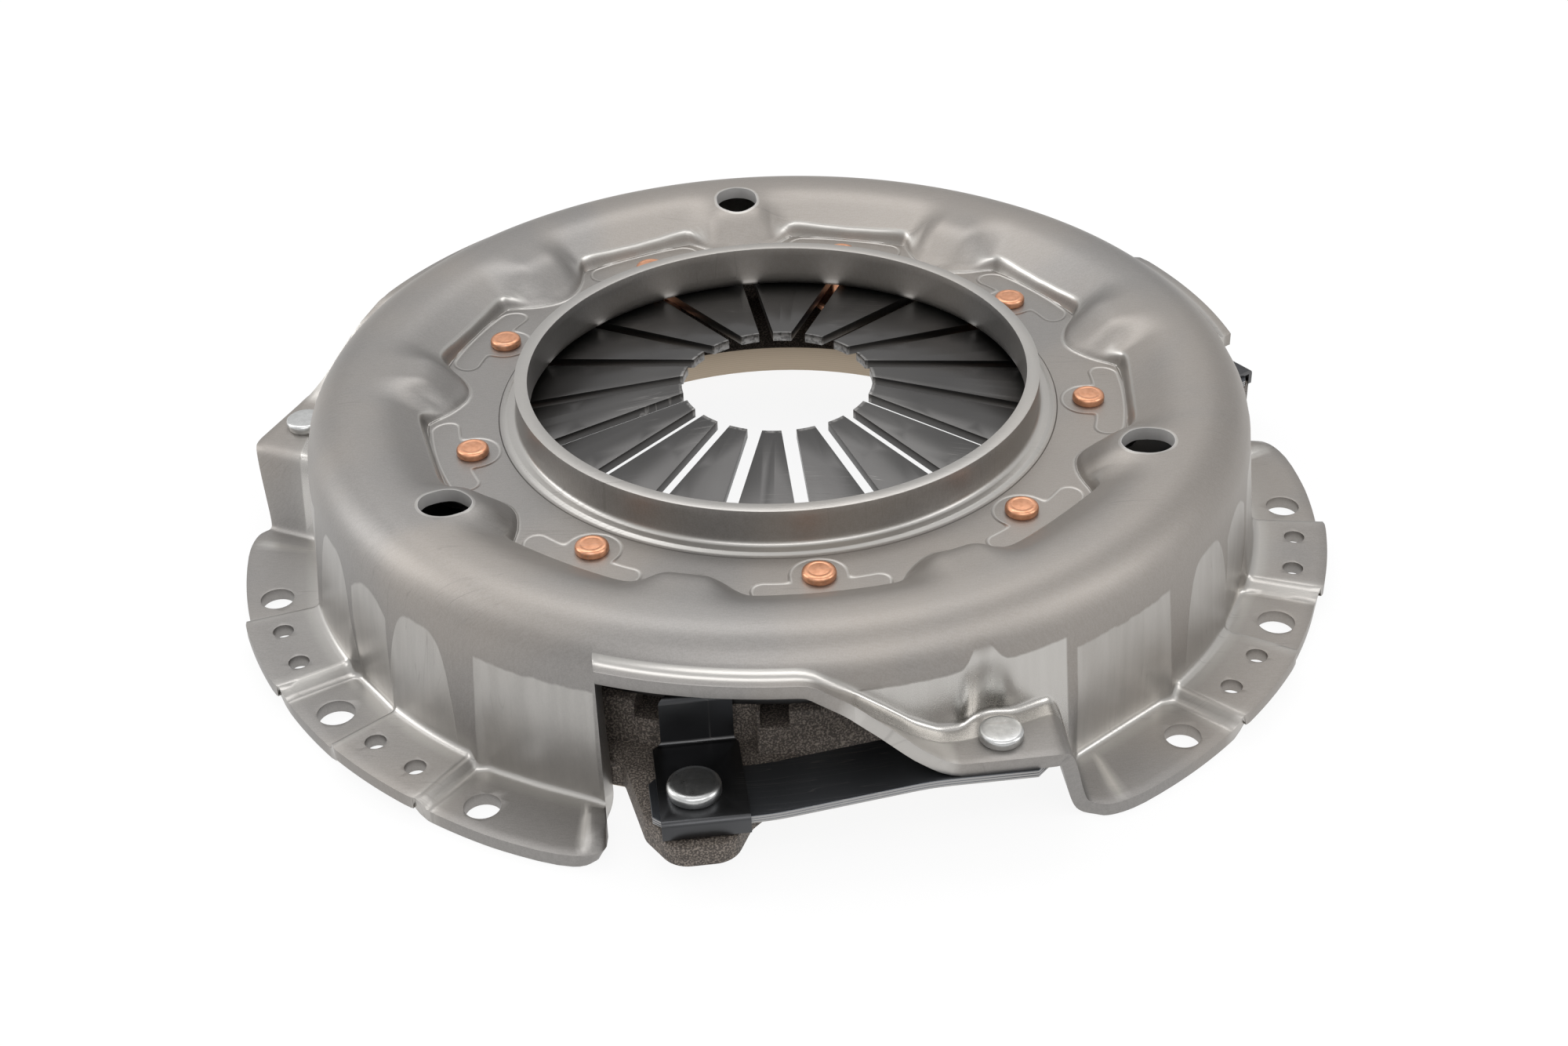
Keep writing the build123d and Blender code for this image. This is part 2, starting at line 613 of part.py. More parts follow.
def make_cover_rivet():
    seat = EAR_TOP - SHEET - STRAP_STACK
    stack = (
        (RIVET_TAIL, seat - RIVET_TAIL_HEIGHT, seat),
        (STRAP_HOLE - RIVET_FIT, seat, EAR_TOP),
        (COVER_RIVET_HEAD, EAR_TOP, EAR_TOP + COVER_RIVET_HEIGHT),
    )
    return Pos(STRAP_CIRCLE, 0, 0) * turned_stack(stack, EAR_TOP + COVER_RIVET_HEIGHT)


def make_plate_rivet():
    seat = LUG_UNDERSIDE + TAIL_RECESS_DEPTH
    top = CLIP_SEAT + CLIP
    stack = (
        (RIVET_TAIL, seat - RIVET_TAIL_HEIGHT, seat),
        (STRAP_HOLE - RIVET_FIT, seat, top),
        (PLATE_RIVET_HEAD, top, top + PLATE_RIVET_HEIGHT),
    )
    return Pos(STRAP_CIRCLE, 0, 0) * turned_stack(stack, top + PLATE_RIVET_HEIGHT)


def make_clip():
    """Strip that lies on the straps, climbs the ridge and hooks over the spring's rim."""
    riser = CLIP_BACK - CLIP
    reach = spring_top(hypot(CLIP_REACH, CLIP_NECK_RIGHT)) + CLIP_GAP
    inner = [
        (CLIP_FRONT - CLIP, CLIP_SEAT - CLIP_SKIRT),
        (CLIP_FRONT - CLIP, CLIP_SEAT),
        (riser, CLIP_SEAT),
        (riser, spring_top(SPRING_RADIUS) + 2 * CLIP_GAP),
        (CLIP_REACH, reach),
    ]
    inner_radii = [CLIP_FOLD, CLIP_BEND + CLIP, CLIP_BEND]
    outer, outer_radii = underside(inner, inner_radii, CLIP)
    width = CLIP_RIGHT - CLIP_LEFT
    middle = (CLIP_RIGHT + CLIP_LEFT) / 2
    face = sheet_face(inner, inner_radii, outer, outer_radii, Plane.XZ)
    strip = Pos(0, middle, 0) * extrude(face, width / 2, both=True)
    plan = make_face(Polyline(
        (CLIP_FRONT, CLIP_LEFT),
        (CLIP_FRONT, CLIP_RIGHT),
        (CLIP_BACK + CLIP, CLIP_RIGHT),
        (CLIP_BACK - CLIP, CLIP_NECK_RIGHT),
        (CLIP_REACH - CLIP, CLIP_NECK_RIGHT),
        (CLIP_REACH - CLIP, CLIP_NECK_LEFT),
        (CLIP_BACK - CLIP, CLIP_NECK_LEFT),
        (CLIP_BACK + CLIP, CLIP_LEFT),
        close=True))
    hole = Pos(STRAP_LINE, -STRAP_HALF_SPAN, 0) * extrude(Circle(STRAP_HOLE / 2), TALL)
    return (strip & extrude(plan, TALL)) - hole


# ---------------------------------------------------------------- assembly


def assembly():
    """Every node by name."""
    nodes = {
        "cover": make_cover(),
        "diaphragm_spring": make_spring(),
        "pressure_plate": make_plate(),
        "upper_fulcrum_ring": make_fulcrum_ring(fulcrum_top()),
        "lower_fulcrum_ring": make_fulcrum_ring(fulcrum_bottom()),
    }
    for number, rivet in enumerate(around(make_fulcrum_rivet(), FULCRUM_RIVETS, WINDOW_AZIMUTH), 1):
        nodes[f"fulcrum_rivet_{number}"] = rivet
    for index in range(STRAP_LEAVES):
        for number, leaf in enumerate(in_windows(make_leaf(index)), 1):
            nodes[f"drive_strap_{number}_leaf_{index + 1}"] = leaf
    for number, clip in enumerate(in_windows(make_clip()), 1):
        nodes[f"retraction_clip_{number}"] = clip
    cover_rivets = around(make_cover_rivet(), SECTORS, WINDOW_AZIMUTH + STRAP_HALF_ANGLE)
    plate_rivets = around(make_plate_rivet(), SECTORS, WINDOW_AZIMUTH - STRAP_HALF_ANGLE)
    for number, (on_cover, on_plate) in enumerate(zip(cover_rivets, plate_rivets), 1):
        nodes[f"strap_cover_rivet_{number}"] = on_cover
        nodes[f"strap_plate_rivet_{number}"] = on_plate
    return nodes


os.makedirs("parts", exist_ok=True)
for name, shape in assembly().items():
    export_step(shape, f"parts/{name}.step")
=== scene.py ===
# %% [markdown]
# # A clutch cover assembly, piece by piece
#
# The part is a pressed steel cover that carries a diaphragm spring and pushes a cast plate against a
# friction disc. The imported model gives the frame: every node's place, and which body it moves with.
# Each cell below adds one piece or one finish to it.

# %% The frame
from functools import partialmethod
from math import cos, hypot, pi, radians, sin, tan

import bmesh
import bpy
import numpy as np
from mathutils import Matrix, Vector


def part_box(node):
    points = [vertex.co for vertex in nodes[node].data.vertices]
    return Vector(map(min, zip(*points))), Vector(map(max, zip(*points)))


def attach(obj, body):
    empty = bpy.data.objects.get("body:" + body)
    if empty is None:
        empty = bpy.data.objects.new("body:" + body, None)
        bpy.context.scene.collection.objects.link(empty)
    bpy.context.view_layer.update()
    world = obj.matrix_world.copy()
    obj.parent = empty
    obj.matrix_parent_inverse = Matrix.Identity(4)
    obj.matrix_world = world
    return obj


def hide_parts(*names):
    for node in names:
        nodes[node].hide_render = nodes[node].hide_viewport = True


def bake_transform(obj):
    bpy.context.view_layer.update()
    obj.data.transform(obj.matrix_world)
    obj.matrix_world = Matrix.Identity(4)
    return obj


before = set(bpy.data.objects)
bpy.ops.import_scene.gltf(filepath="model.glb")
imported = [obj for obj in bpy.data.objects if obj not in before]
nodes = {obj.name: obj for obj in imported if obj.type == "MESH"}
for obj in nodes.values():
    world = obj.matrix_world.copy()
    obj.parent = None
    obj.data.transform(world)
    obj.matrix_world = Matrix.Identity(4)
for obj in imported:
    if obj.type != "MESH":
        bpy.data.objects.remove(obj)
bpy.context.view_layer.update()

MM = 0.001

# %% [markdown]
# ## Helpers
#
# A mesh that comes from a grid keeps its rows and columns, so a function of row and column can press it
# into shape, as a die presses sheet. These helpers hold the few sums that several pieces share.

# %% Helpers
WINDOW_MIDDLE = -84.0    # azimuth of the first strap window, in degrees
SECTORS = 3
PITCH = 360 / SECTORS


def step_up(low, high, x):
    """0 before low, 1 after high, smooth between."""
    t = np.clip((np.asarray(x, float) - low) / (high - low), 0, 1)
    return t * t * (3 - 2 * t)


def soft_min(a, b, blend):
    return np.minimum(a, b) - np.maximum(blend - np.abs(a - b), 0) ** 2 / (4 * blend)


def soft_max(a, b, blend):
    return -soft_min(-a, -b, blend)


def smooth_run(xs, ys, blur=0.0):
    """Function through points, its corners rounded over a distance of blur."""
    def value(x):
        x = np.asarray(x, float)
        if blur <= 0:
            return np.interp(x, xs, ys)
        offsets = np.linspace(-blur, blur, 9)
        return np.mean([np.interp(x + o, xs, ys) for o in offsets], axis=0)
    return value


def polar(radius, azimuth):
    """x and y of points given by their radius and their azimuth in degrees."""
    return radius * np.cos(np.radians(azimuth)), radius * np.sin(np.radians(azimuth))


def in_scene(name, data):
    """A new object for a mesh, a lamp or a camera."""
    thing = bpy.data.objects.new(name, data)
    bpy.context.scene.collection.objects.link(thing)
    return thing


def mesh_object(name, made):
    """The object that a finished bmesh becomes."""
    mesh = bpy.data.meshes.new(name)
    made.to_mesh(mesh)
    made.free()
    return in_scene(name, mesh)


def shade(mesh, degrees):
    """Smooth faces, with the edges sharp where they turn by more than an angle."""
    for polygon in mesh.polygons:
        polygon.use_smooth = True
    mesh.set_sharp_from_angle(angle=radians(degrees))


def new_piece(name, made, body, node):
    """A piece that stands for a CAD node, and rides on a body if one is given."""
    piece = mesh_object(name, made)
    shade(piece.data, 38)
    if body:
        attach(piece, body)
    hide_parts(node)
    return piece


def rounded(made, edges, width, segments):
    """Rounds edges over a width in millimetres."""
    bmesh.ops.bevel(made, geom=edges, offset=width * MM, offset_type="OFFSET", segments=segments, profile=0.5,
                    affect="EDGES", clamp_overlap=True, material=-1)


def spin_round(made, section, steps):
    """Spins a section once round Z and closes the seam and the poles."""
    bmesh.ops.spin(made, geom=section, cent=(0, 0, 0), axis=(0, 0, 1), angle=2 * pi, steps=steps,
                   use_merge=True)
    bmesh.ops.remove_doubles(made, verts=made.verts, dist=0.001 * MM)
    bmesh.ops.recalc_face_normals(made, faces=made.faces)


def apply_modifiers(piece):
    """The piece's mesh as its modifiers leave it, with the modifiers gone."""
    graph = bpy.context.evaluated_depsgraph_get()
    mesh = bpy.data.meshes.new_from_object(piece.evaluated_get(graph))
    piece.modifiers.clear()
    piece.data = mesh
    return piece

# %% [markdown]
# ## The cover: one pressed sheet
#
# The real cover is one disc of 3.5 mm steel. The die draws it into a shallow pan, sinks a ring of nine
# pockets round the rivets, turns up a collar, and bends three ears out of the wall for the drive straps.
# A surface of revolution gives only the pan. Here a grid is pressed instead: its rows run from the
# collar's rim to the flange's edge, its columns run round one third of the pan, and the height and the
# radius of each row change from column to column.

# %% Sizes of the cover, in millimetres and degrees
SHEET = 3.5
COLLAR = 71.5            # outside radius of the collar
COLLAR_TOP = 53.0
RING_TOP = 42.3          # the flat ring that the rivets hold
COLLAR_FOOT = 76.4       # where the collar's fillet meets that ring
SKIRT_FOOT = 132.35      # radius of the wall, carried down to the flywheel's face
DRAFT_ANGLE = 5.7
DRAFT = tan(radians(DRAFT_ANGLE))
SHOULDER = 13.0          # radius of the bend from the wall into the crown
SHOULDER_TOP = 52.0
SPLIT_HEIGHT = 47.4      # above this the grid closes all the way round
FIRST_CUT, NEXT_CUT = -26.8, 93.2    # azimuths of the cut edges at the two ends of one third
WINDOW_EDGE = -57.0      # U of the cut edge at a window's left end
WINDOW_END = 58.5        # U of the window's right end, where the flange begins
EAR_END = 60.5           # U up to which the sheet's edge is the window's front
LIP_RADIUS = 130.9
FOOT_BEND = 2.0
RIVET_CIRCLE = 85.0
STRAP_RIVET = (36.16, 132.2)     # U and N of the strap rivet on an ear


def skirt(z):
    """Radius of the straight wall at a height."""
    return SKIRT_FOOT - np.asarray(z, float) * DRAFT


print("wall radius at the foot and under the shoulder:", skirt(0), skirt(SPLIT_HEIGHT).round(2))

# %% [markdown]
# ## The crown
#
# Round the collar runs a flat ring, sunk into the crown. Its outer border is one closed crease, which
# bulges out at every rivet to make a pocket. Outside the crease the sheet climbs to the crown: steeply
# behind a rivet, and over a gentler nose between two of them. The height is the smaller of a steep wall,
# which grows with the distance from the crease, and the form of the crown, blended where they meet.

# %% Heights of the crown, the pockets and the noses
toe_radius = smooth_run(
    [0, 5, 8.6, 10.4, 11.3, 12.5, 13.8, 15.5, 17.7, 20, 25],
    [95.0, 95.3, 95.9, 96.0, 94.9, 92.4, 90.0, 87.9, 86.0, 85.3, 86.0], 0.5)
nose_rise = smooth_run([84.0, 95.8, 104, 110, 115.4, 120], [0, 8.9, 9.65, 10.1, 9.95, 9.86], 2.0)
dent_rise = smooth_run([90, 96.7, 106.5, 111, 115.4, 120], [0.2, 3.7, 9.2, 10.05, 9.95, 9.86], 2.4)


def from_rivet(azimuth):
    """Angle from the nearest fulcrum rivet, and the same without its sign."""
    angle = (azimuth + 20) % 40 - 20
    return angle, np.abs(angle)


def toe_points():
    """The crease round the sunken ring, near one rivet, as points in the rivet's own frame."""
    angles = np.linspace(-26, 26, 700)
    radius = toe_radius(20 - np.abs(20 - np.abs(angles)))
    return polar(radius, angles)


def distance_from_toe(radius, azimuth):
    """Distance outward from the crease, negative on the sunken ring."""
    rivet, folded = from_rivet(azimuth)
    x, y = polar(radius, rivet)
    toe_x, toe_y = toe_points()
    gap = np.min(np.hypot(x[:, None] - toe_x, y[:, None] - toe_y), axis=1)
    return np.where(radius > toe_radius(folded), gap, -gap)


def crown_field(radius, azimuth):
    """Height of the sheet inside the shoulder, and its painted highlight on the brows and along the crease.
    Azimuth is counted from a window's middle.
    """
    distance = distance_from_toe(radius, azimuth)
    folded = from_rivet(azimuth)[1]
    steep = step_up(14.5, 11.3, folded)
    tip = step_up(14.5, 20.0, folded)
    wall = soft_max((1.35 + 1.3 * steep - 0.45 * tip) * distance, 0, 0.5)
    nose = step_up(11.0, 17.5, folded)
    form = dent_rise(radius) * (1 - nose) + nose_rise(radius) * nose
    blend = np.clip(np.minimum(wall, form), 0.02, 3.2 - 2.4 * steep)
    height = RING_TOP + soft_min(wall, form, blend)
    # Painted highlight: a band on the brow behind each pocket, and a thin line along the crease.
    brow_highlight = np.exp(-((wall - form) / 0.9) ** 2) * steep * step_up(0.3, 1.2, wall)
    burnish_and_highlight = np.maximum(brow_highlight, 0.55 * np.exp(-(distance / 0.35) ** 2))
    return height, burnish_and_highlight


over_rivet, between = crown_field(np.array([110.0, 110.0]), np.array([0.0, 20.0]))[0]
print("crown height behind a rivet and between two:", round(over_rivet, 2), round(between, 2))

# %% [markdown]
# ## The wall and the flange
#
# Below the shoulder the wall runs down with a little draft. In a window it stops high up and turns out
# as a lip, which drops into the ear that holds a strap. Between two windows it reaches the foot and turns
# out as a flange, with a raised pad to each side of the middle. U runs along a window's front and N out of
# it, so both are given in the frame of the window's middle, as functions along it.

# %% The wall and the flange, column by column
window_height = smooth_run(
    [-60, -11, -7.6, 1.5, 9.5, 16.5, 22, 26, 48.0, 50.6, 52.2, 53.5, 56.6, 58.6, 70],
    [44.9, 44.9, 44.5, 40.2, 34.6, 29.2, 26.2, 25.5, 25.5, 25.2, 23.6, 20.0, 5.0, 3.5, 3.5], 1.0)
window_front = smooth_run(
    [-8, 21, 24.5, 47, 50, 53, 57.4, 58.5, 60.5],
    [LIP_RADIUS, 139.6, 140.6, 140.6, 140.2, 138.0, 133.4, 133.0, 134.8], 1.2)


def flange_height(azimuth):
    """Height of the flange's top beyond the window; azimuth from the window's middle."""
    off = np.abs(azimuth - 60)
    return 3.5 + 3.6 * (step_up(4.4, 5.6, off) - step_up(17.4, 18.7, off))


def flange_edge(azimuth):
    """Radius of the flange's edge, a little greater at the raised pads."""
    off = np.abs(azimuth - 60)
    return 150.2 + 1.6 * (step_up(4.2, 6.5, off) - step_up(16.6, 19.0, off))


def base_radius(z):
    """Outside radius of the turned pan at a height, from the shoulder down."""
    z = np.asarray(z, float)
    reach = SHOULDER * tan(radians((90 - DRAFT_ANGLE - 1.0) / 2))
    length = hypot(DRAFT, 1)
    end_x, end_z = skirt(SHOULDER_TOP) + reach * DRAFT / length, SHOULDER_TOP - reach / length
    centre_x, centre_z = end_x - SHOULDER / length, end_z - SHOULDER * DRAFT / length
    rise = np.clip(z - centre_z, -SHOULDER, SHOULDER)
    arc = centre_x + np.sqrt(SHOULDER ** 2 - rise ** 2)
    return np.where(z < end_z, skirt(z), arc)


WALL_FLATS = ((60.0, 3.6, 129.6), (33.6, 6.6, 129.2), (86.4, 6.6, 129.2))   # azimuth, half angle, distance
RIVET_ROOM = 9.6         # radius of the clearance for the rivet's head in the wall


def pressed_radius(z, azimuth):
    """Radius of the wall with the flats over the pads and the rivet's clearance pressed into it."""
    radius = base_radius(z)
    for middle, half, distance in WALL_FLATS:
        off = azimuth - middle
        flat = distance / np.cos(np.radians(np.clip(off, -20, 20)))
        keep = step_up(half + 1.6, half, np.abs(off))
        radius = radius * (1 - keep) + soft_min(radius, flat, 0.8) * keep
    u, n = STRAP_RIVET
    a = np.radians(azimuth)
    along = n * np.cos(a) + u * np.sin(a)
    beside = n * n + u * u - along ** 2
    room = RIVET_ROOM ** 2 - beside
    bore = along - np.sqrt(np.maximum(room, 0))
    near = step_up(0, 9.0, room)
    return radius * (1 - near) + soft_min(radius, np.where(room > 0, bore, radius), 1.4) * near


print("radius at the foot, in a flat and beside it:", pressed_radius(5.0, np.array([60.0, 50.0])).round(2))

# %% [markdown]
# ## Where the grid is fine
#
# A grid costs a column everywhere to get one anywhere, so the columns are crowded only where the sheet
# turns sharply from one to the next, at the ramps of the flange and at the steep side of an ear. The rows
# are crowded in the same way along the crease.

# %% The columns of one third, closer together where the sheet turns sharply
def column_azimuths():
    """Azimuths of the columns, from one window's cut edge to the next window's."""
    spacing = [(FIRST_CUT, 0.9), (-25.0, 1.0), (-4.5, 1.0), (-3.0, 0.8), (9.0, 0.8), (10.5, 0.75),
               (21.5, 0.75), (22.4, 0.25), (26.6, 0.25), (28.0, 0.3), (29.4, 0.3), (30.2, 0.95), (40, 1.0),
               (41.0, 0.3), (43.2, 0.3), (44, 1.0), (53.0, 1.0), (54.0, 0.3), (56.2, 0.3), (57, 0.95),
               (63, 0.95), (63.8, 0.3), (66.0, 0.3), (67, 1.0), (76, 1.0), (76.8, 0.3), (79.2, 0.3),
               (80, 1.0), (89.6, 1.0), (90.4, 0.3), (NEXT_CUT, 0.3)]
    at, gap = zip(*spacing)
    azimuths = [FIRST_CUT]
    while azimuths[-1] < NEXT_CUT:
        azimuths.append(azimuths[-1] + float(np.interp(azimuths[-1], at, gap)))
    azimuths = np.array(azimuths)
    return FIRST_CUT + (azimuths - FIRST_CUT) * PITCH / (azimuths[-1] - FIRST_CUT)


columns = column_azimuths()
print("columns in one third:", len(columns))

# %% Rows of the pressing
WALL_ROWS, BEND_ROWS, FLANGE_ROWS = 12, 6, 6
SHOULDER_START = 115.4
SHOULDER_HEIGHTS = (52.05, 51.6, 50.9, 50.0, 48.8, SPLIT_HEIGHT)
TOE_BAND = (-0.9, -0.35, 0.0, 0.25, 0.5, 0.8, 1.1, 1.45, 1.8, 2.3, 3.0, 3.9)   # distances from the crease
# Radius, height and painted highlight from the collar's rim down to the small ledge at its foot; the
# highlight rings the ledge and its fillet.
COLLAR_ROWS = [(COLLAR, COLLAR_TOP, 0), (COLLAR, 50.5, 0), (COLLAR, 47.0, 0), (COLLAR, 45.0, 0),
               (71.55, 44.1, 0.1), (71.8, 43.5, 0.5), (72.2, 43.1, 0.8), (72.9, 42.9, 0.6),
               (74.2, 42.88, 0.5), (74.7, 42.75, 0.9), (75.1, 42.45, 0.8), (75.6, RING_TOP, 0.3)]


def ring_radii(azimuth):
    """Radii of the rows from the collar's fillet to the shoulder; some rows follow the crease."""
    toe = toe_radius(from_rivet(azimuth)[1])
    inside = [COLLAR_FOOT + (toe + TOE_BAND[0] - COLLAR_FOOT) * t for t in np.linspace(0, 1, 7)[:-1]]
    band = [toe + step for step in TOE_BAND]
    last = toe + TOE_BAND[-1]
    outside = [last + (SHOULDER_START - toe - TOE_BAND[-1]) * t for t in np.linspace(0, 1, 13)[1:]]
    return inside + band + outside


def outward(azimuth):
    """Direction in which the flange runs out from the wall: square to a window near it, else radial."""
    to_window = step_up(33, 27, azimuth)
    to_next = step_up(86, NEXT_CUT, azimuth)
    return azimuth * (1 - to_window) * (1 - to_next) + PITCH * to_next


def from_cut(azimuth, y):
    """Distance along the flange from the cut edge at either end of it."""
    past_window = np.where(azimuth > 26, y - WINDOW_END, 60.0)
    return np.where(azimuth > 80, (NEXT_CUT - azimuth) * 2.3, past_window)


LEFT_ROUNDING, RIGHT_ROUNDING = 10.0, 8.0    # radii of the flange's corners, seen from outside


def flange_reach(x, y, azimuth, direction):
    """Distance from a point of the bend, along the flange, to its edge."""
    dx, dy = polar(1, direction)
    edge = flange_edge(azimuth)
    along = x * dx + y * dy
    to_circle = -along + np.sqrt(along ** 2 - x * x - y * y + edge ** 2)
    front = np.where(y < -7.6, np.sqrt(LIP_RADIUS ** 2 - np.minimum(y * y, 4000)), window_front(y))
    to_front = np.maximum(front - x, 0.3)
    reach = np.where((azimuth < 30) & (y < EAR_END), to_front, to_circle)
    rounding = np.where(azimuth > 80, LEFT_ROUNDING, RIGHT_ROUNDING)
    inset = np.clip(from_cut(azimuth, y), 0, rounding)
    corner = rounding - np.sqrt(rounding ** 2 - (rounding - inset) ** 2)
    return reach - np.where((azimuth > 80) | (y >= EAR_END), corner, 0)


# %% [markdown]
# ## Rows from the shoulder to the sheet's edge
#
# Each column goes down the wall, round the bend and out along the flange. The bend is a quadratic curve
# from the wall to the flange through their corner. Every point also carries a value of painted highlight,
# with some of the die's burnish in it: the sheet is painted lighter on the bends, the ramps and the creases,
# where they catch the light.

# %% Wall, bend and flange
def lower_wall(a):
    """Rows of the wall and the flange for all columns: x, y, z and painted highlight in the window's frame.
    """
    window_u = 131.0 * np.sin(np.radians(np.minimum(a, 40)))
    height = np.where(a < 30, window_height(window_u), flange_height(a))
    bend = np.where(height > 30, 1.6, FOOT_BEND) * np.ones_like(a)
    off = np.abs(a - 60)
    # Painted highlight on the ramps of the flange pads and on the window's sloping lip.
    ramp = np.exp(-((off - 5.2) / 0.9) ** 2) + np.exp(-((off - 18.2) / 1.0) ** 2)
    slope = step_up(-1.0, 1.0, a) * step_up(11.5, 10.0, a)
    ramp = 0.6 * np.where(a > 28, np.minimum(ramp, 1), slope)
    top = height + bend
    rows = []
    for t in np.linspace(0, 1, WALL_ROWS + 1)[1:]:
        z = SPLIT_HEIGHT + (top - SPLIT_HEIGHT) * t
        # The wall's lowest rows are painted a little lighter towards the bend, a painted highlight.
        rows.append((*polar(pressed_radius(z, a), a), z, 0.5 * t ** 12 + 0 * a))
    direction = outward(a)
    dx, dy = polar(1, direction)
    x0, y0, z0 = rows[-1][:3]
    cx, cy = polar(pressed_radius(height, a), a)
    ex, ey = cx + dx * bend, cy + dy * bend
    for t in np.linspace(0, 1, BEND_ROWS + 1)[1:]:
        # The bend is painted light along its length, a painted highlight.
        p, q, s = (1 - t) ** 2, 2 * t * (1 - t), t * t
        rows.append((p * x0 + q * cx + s * ex, p * y0 + q * cy + s * ey, p * z0 + q * height + s * height,
                     0.85 - 0.25 * t + 0 * a))
    reach = flange_reach(ex, ey, a, direction)
    for t in np.linspace(0, 1, FLANGE_ROWS + 1)[1:]:
        border = 1.9 * step_up(5.6, 3.6, from_cut(a, ey)) * step_up(1.0, 0.7, t) * (a > 80)
        # The crease by the flange's cut corner and the flange next to the bend are painted light too, as
        # highlights.
        crease = 0.9 * np.exp(-((from_cut(a, ey) - 4.8) / 0.8) ** 2) * step_up(1.0, 0.7, t)
        highlight_and_burnish_value = np.maximum(np.maximum(ramp, crease), 0.4 * (1 - t) ** 4)
        rows.append((ex + dx * reach * t, ey + dy * reach * t, height + border, highlight_and_burnish_value))
    return rows


def straighten_cut_edge(x, y, a, z):
    """Brings the columns beside a window's left end to one straight line, U = WINDOW_EDGE."""
    drop = step_up(SPLIT_HEIGHT, SPLIT_HEIGHT - 3.5, z)
    near = step_up(8.0, 0.0, a - FIRST_CUT)
    y = y + (WINDOW_EDGE - y[0]) * near * drop
    c, s = cos(radians(PITCH)), sin(radians(PITCH))
    n, u = x * c + y * s, -x * s + y * c
    near = step_up(85.2, NEXT_CUT, a)
    u = u + (WINDOW_EDGE - u[-1]) * near * drop
    return n * c - u * s, n * s + u * c


def pressed_rows():
    """x, y, z and painted highlight of every grid point of one third of the cover."""
    a = columns
    flat = np.zeros_like(a)
    rows = []
    for radius, height, highlight_and_burnish_value in COLLAR_ROWS:
        rows.append((*polar(radius, a), flat + height, flat + highlight_and_burnish_value))
    for r in ring_radii(a):
        rows.append((*polar(r, a), *crown_field(r, a)))
    for z in SHOULDER_HEIGHTS:
        rows.append((*polar(base_radius(z) + flat, a), flat + z, flat))
    for x, y, z, highlight_and_burnish_value in lower_wall(a):
        x, y = straighten_cut_edge(x, y, a, z)
        rows.append((x, y, z, highlight_and_burnish_value))
    return rows


rows = pressed_rows()
print("rows:", len(rows), "points in one third:", len(rows) * len(columns))

# %% [markdown]
# ## Pressing the grid
#
# A flat grid has the same rows and columns, so each of its points is moved to the place of its row and
# column, as the die moves the sheet. Two turned copies close the ring, and the sheet's thickness comes
# from Solidify, inwards, because the rows describe the outer face.

# %% Pressing the grid
def grid_of_rows(made, rows):
    """A flat grid whose points are then moved to the rows' places."""
    bmesh.ops.create_grid(made, x_segments=len(rows) - 1, y_segments=len(rows[0][0]) - 1, size=1)
    # The fourth value of each row, painted highlight with some die burnish, goes into a point attribute.
    highlight_and_burnish_value = made.verts.layers.float.new("burnish_and_highlight")
    for vert in made.verts:
        i = round((vert.co.x + 1) / 2 * (len(rows) - 1))
        j = round((vert.co.y + 1) / 2 * (len(rows[0][0]) - 1))
        x, y, z, highlight_and_bright_wear = rows[i]
        vert.co = Vector((x[j], y[j], z[j])) * MM
        vert[highlight_and_burnish_value] = highlight_and_bright_wear[j]


def repeat_round(made, count, start):
    """Turned copies of everything, welded where they meet."""
    first = made.verts[:] + made.edges[:] + made.faces[:]
    for k in range(1, count):
        copy = bmesh.ops.duplicate(made, geom=first)["geom"]
        turned = [v for v in copy if isinstance(v, bmesh.types.BMVert)]
        turn = Matrix.Rotation(2 * pi * k / count, 3, "Z")
        bmesh.ops.rotate(made, verts=turned, cent=(0, 0, 0), matrix=turn)
    bmesh.ops.rotate(made, verts=made.verts, cent=(0, 0, 0), matrix=Matrix.Rotation(radians(start), 3, "Z"))
    bmesh.ops.remove_doubles(made, verts=made.verts, dist=0.01 * MM)


skin = bmesh.new()
grid_of_rows(skin, rows)
repeat_round(skin, SECTORS, WINDOW_MIDDLE)
skin.faces.ensure_lookup_table()
ring_face = min(skin.faces, key=lambda f: abs(f.calc_center_median().to_2d().length - 79 * MM))
if ring_face.normal.z < 0:    # the flat ring's face has to look up
    bmesh.ops.reverse_faces(skin, faces=skin.faces)
print("skin faces:", len(skin.faces))

cover = new_piece("cover_pressing", skin, "housing", "cover")
sheet = cover.modifiers.new("sheet", "SOLIDIFY")
sheet.thickness = SHEET * MM
sheet.offset = -1
apply_modifiers(cover)

# %% [markdown]
# ## Punched holes
#
# Bolt holes, tooling holes and the three slots in the crown are punched after the drawing, so they go
# straight through. One mesh holds all the punches, and a single Boolean takes them out.

# %% Punches
def punch(made, radius, azimuth, bore, low, high, stretch=0.0):
    """A punch on a bolt circle; stretch moves its two halves apart along the radius."""
    centre = Matrix.Translation((radius * MM, 0, (low + high) / 2 * MM))
    rod = bmesh.ops.create_cone(made, cap_ends=True, segments=40, radius1=bore / 2 * MM,
                                radius2=bore / 2 * MM, depth=(high - low) * MM)["verts"]
    for side in (-1, 1):
        half = [v for v in rod if v.co.x * side > 1e-7]
        bmesh.ops.translate(made, verts=half, vec=(side * stretch * MM, 0, 0))
    bmesh.ops.transform(made, verts=rod, matrix=Matrix.Rotation(radians(azimuth), 4, "Z") @ centre)


SLOT_CIRCLE, SLOT_BORE, SLOT_STRETCH = 104.2, 12.3, 0.7
BOLT_CIRCLE, TOOLING_CIRCLE = 142.1, 143.0
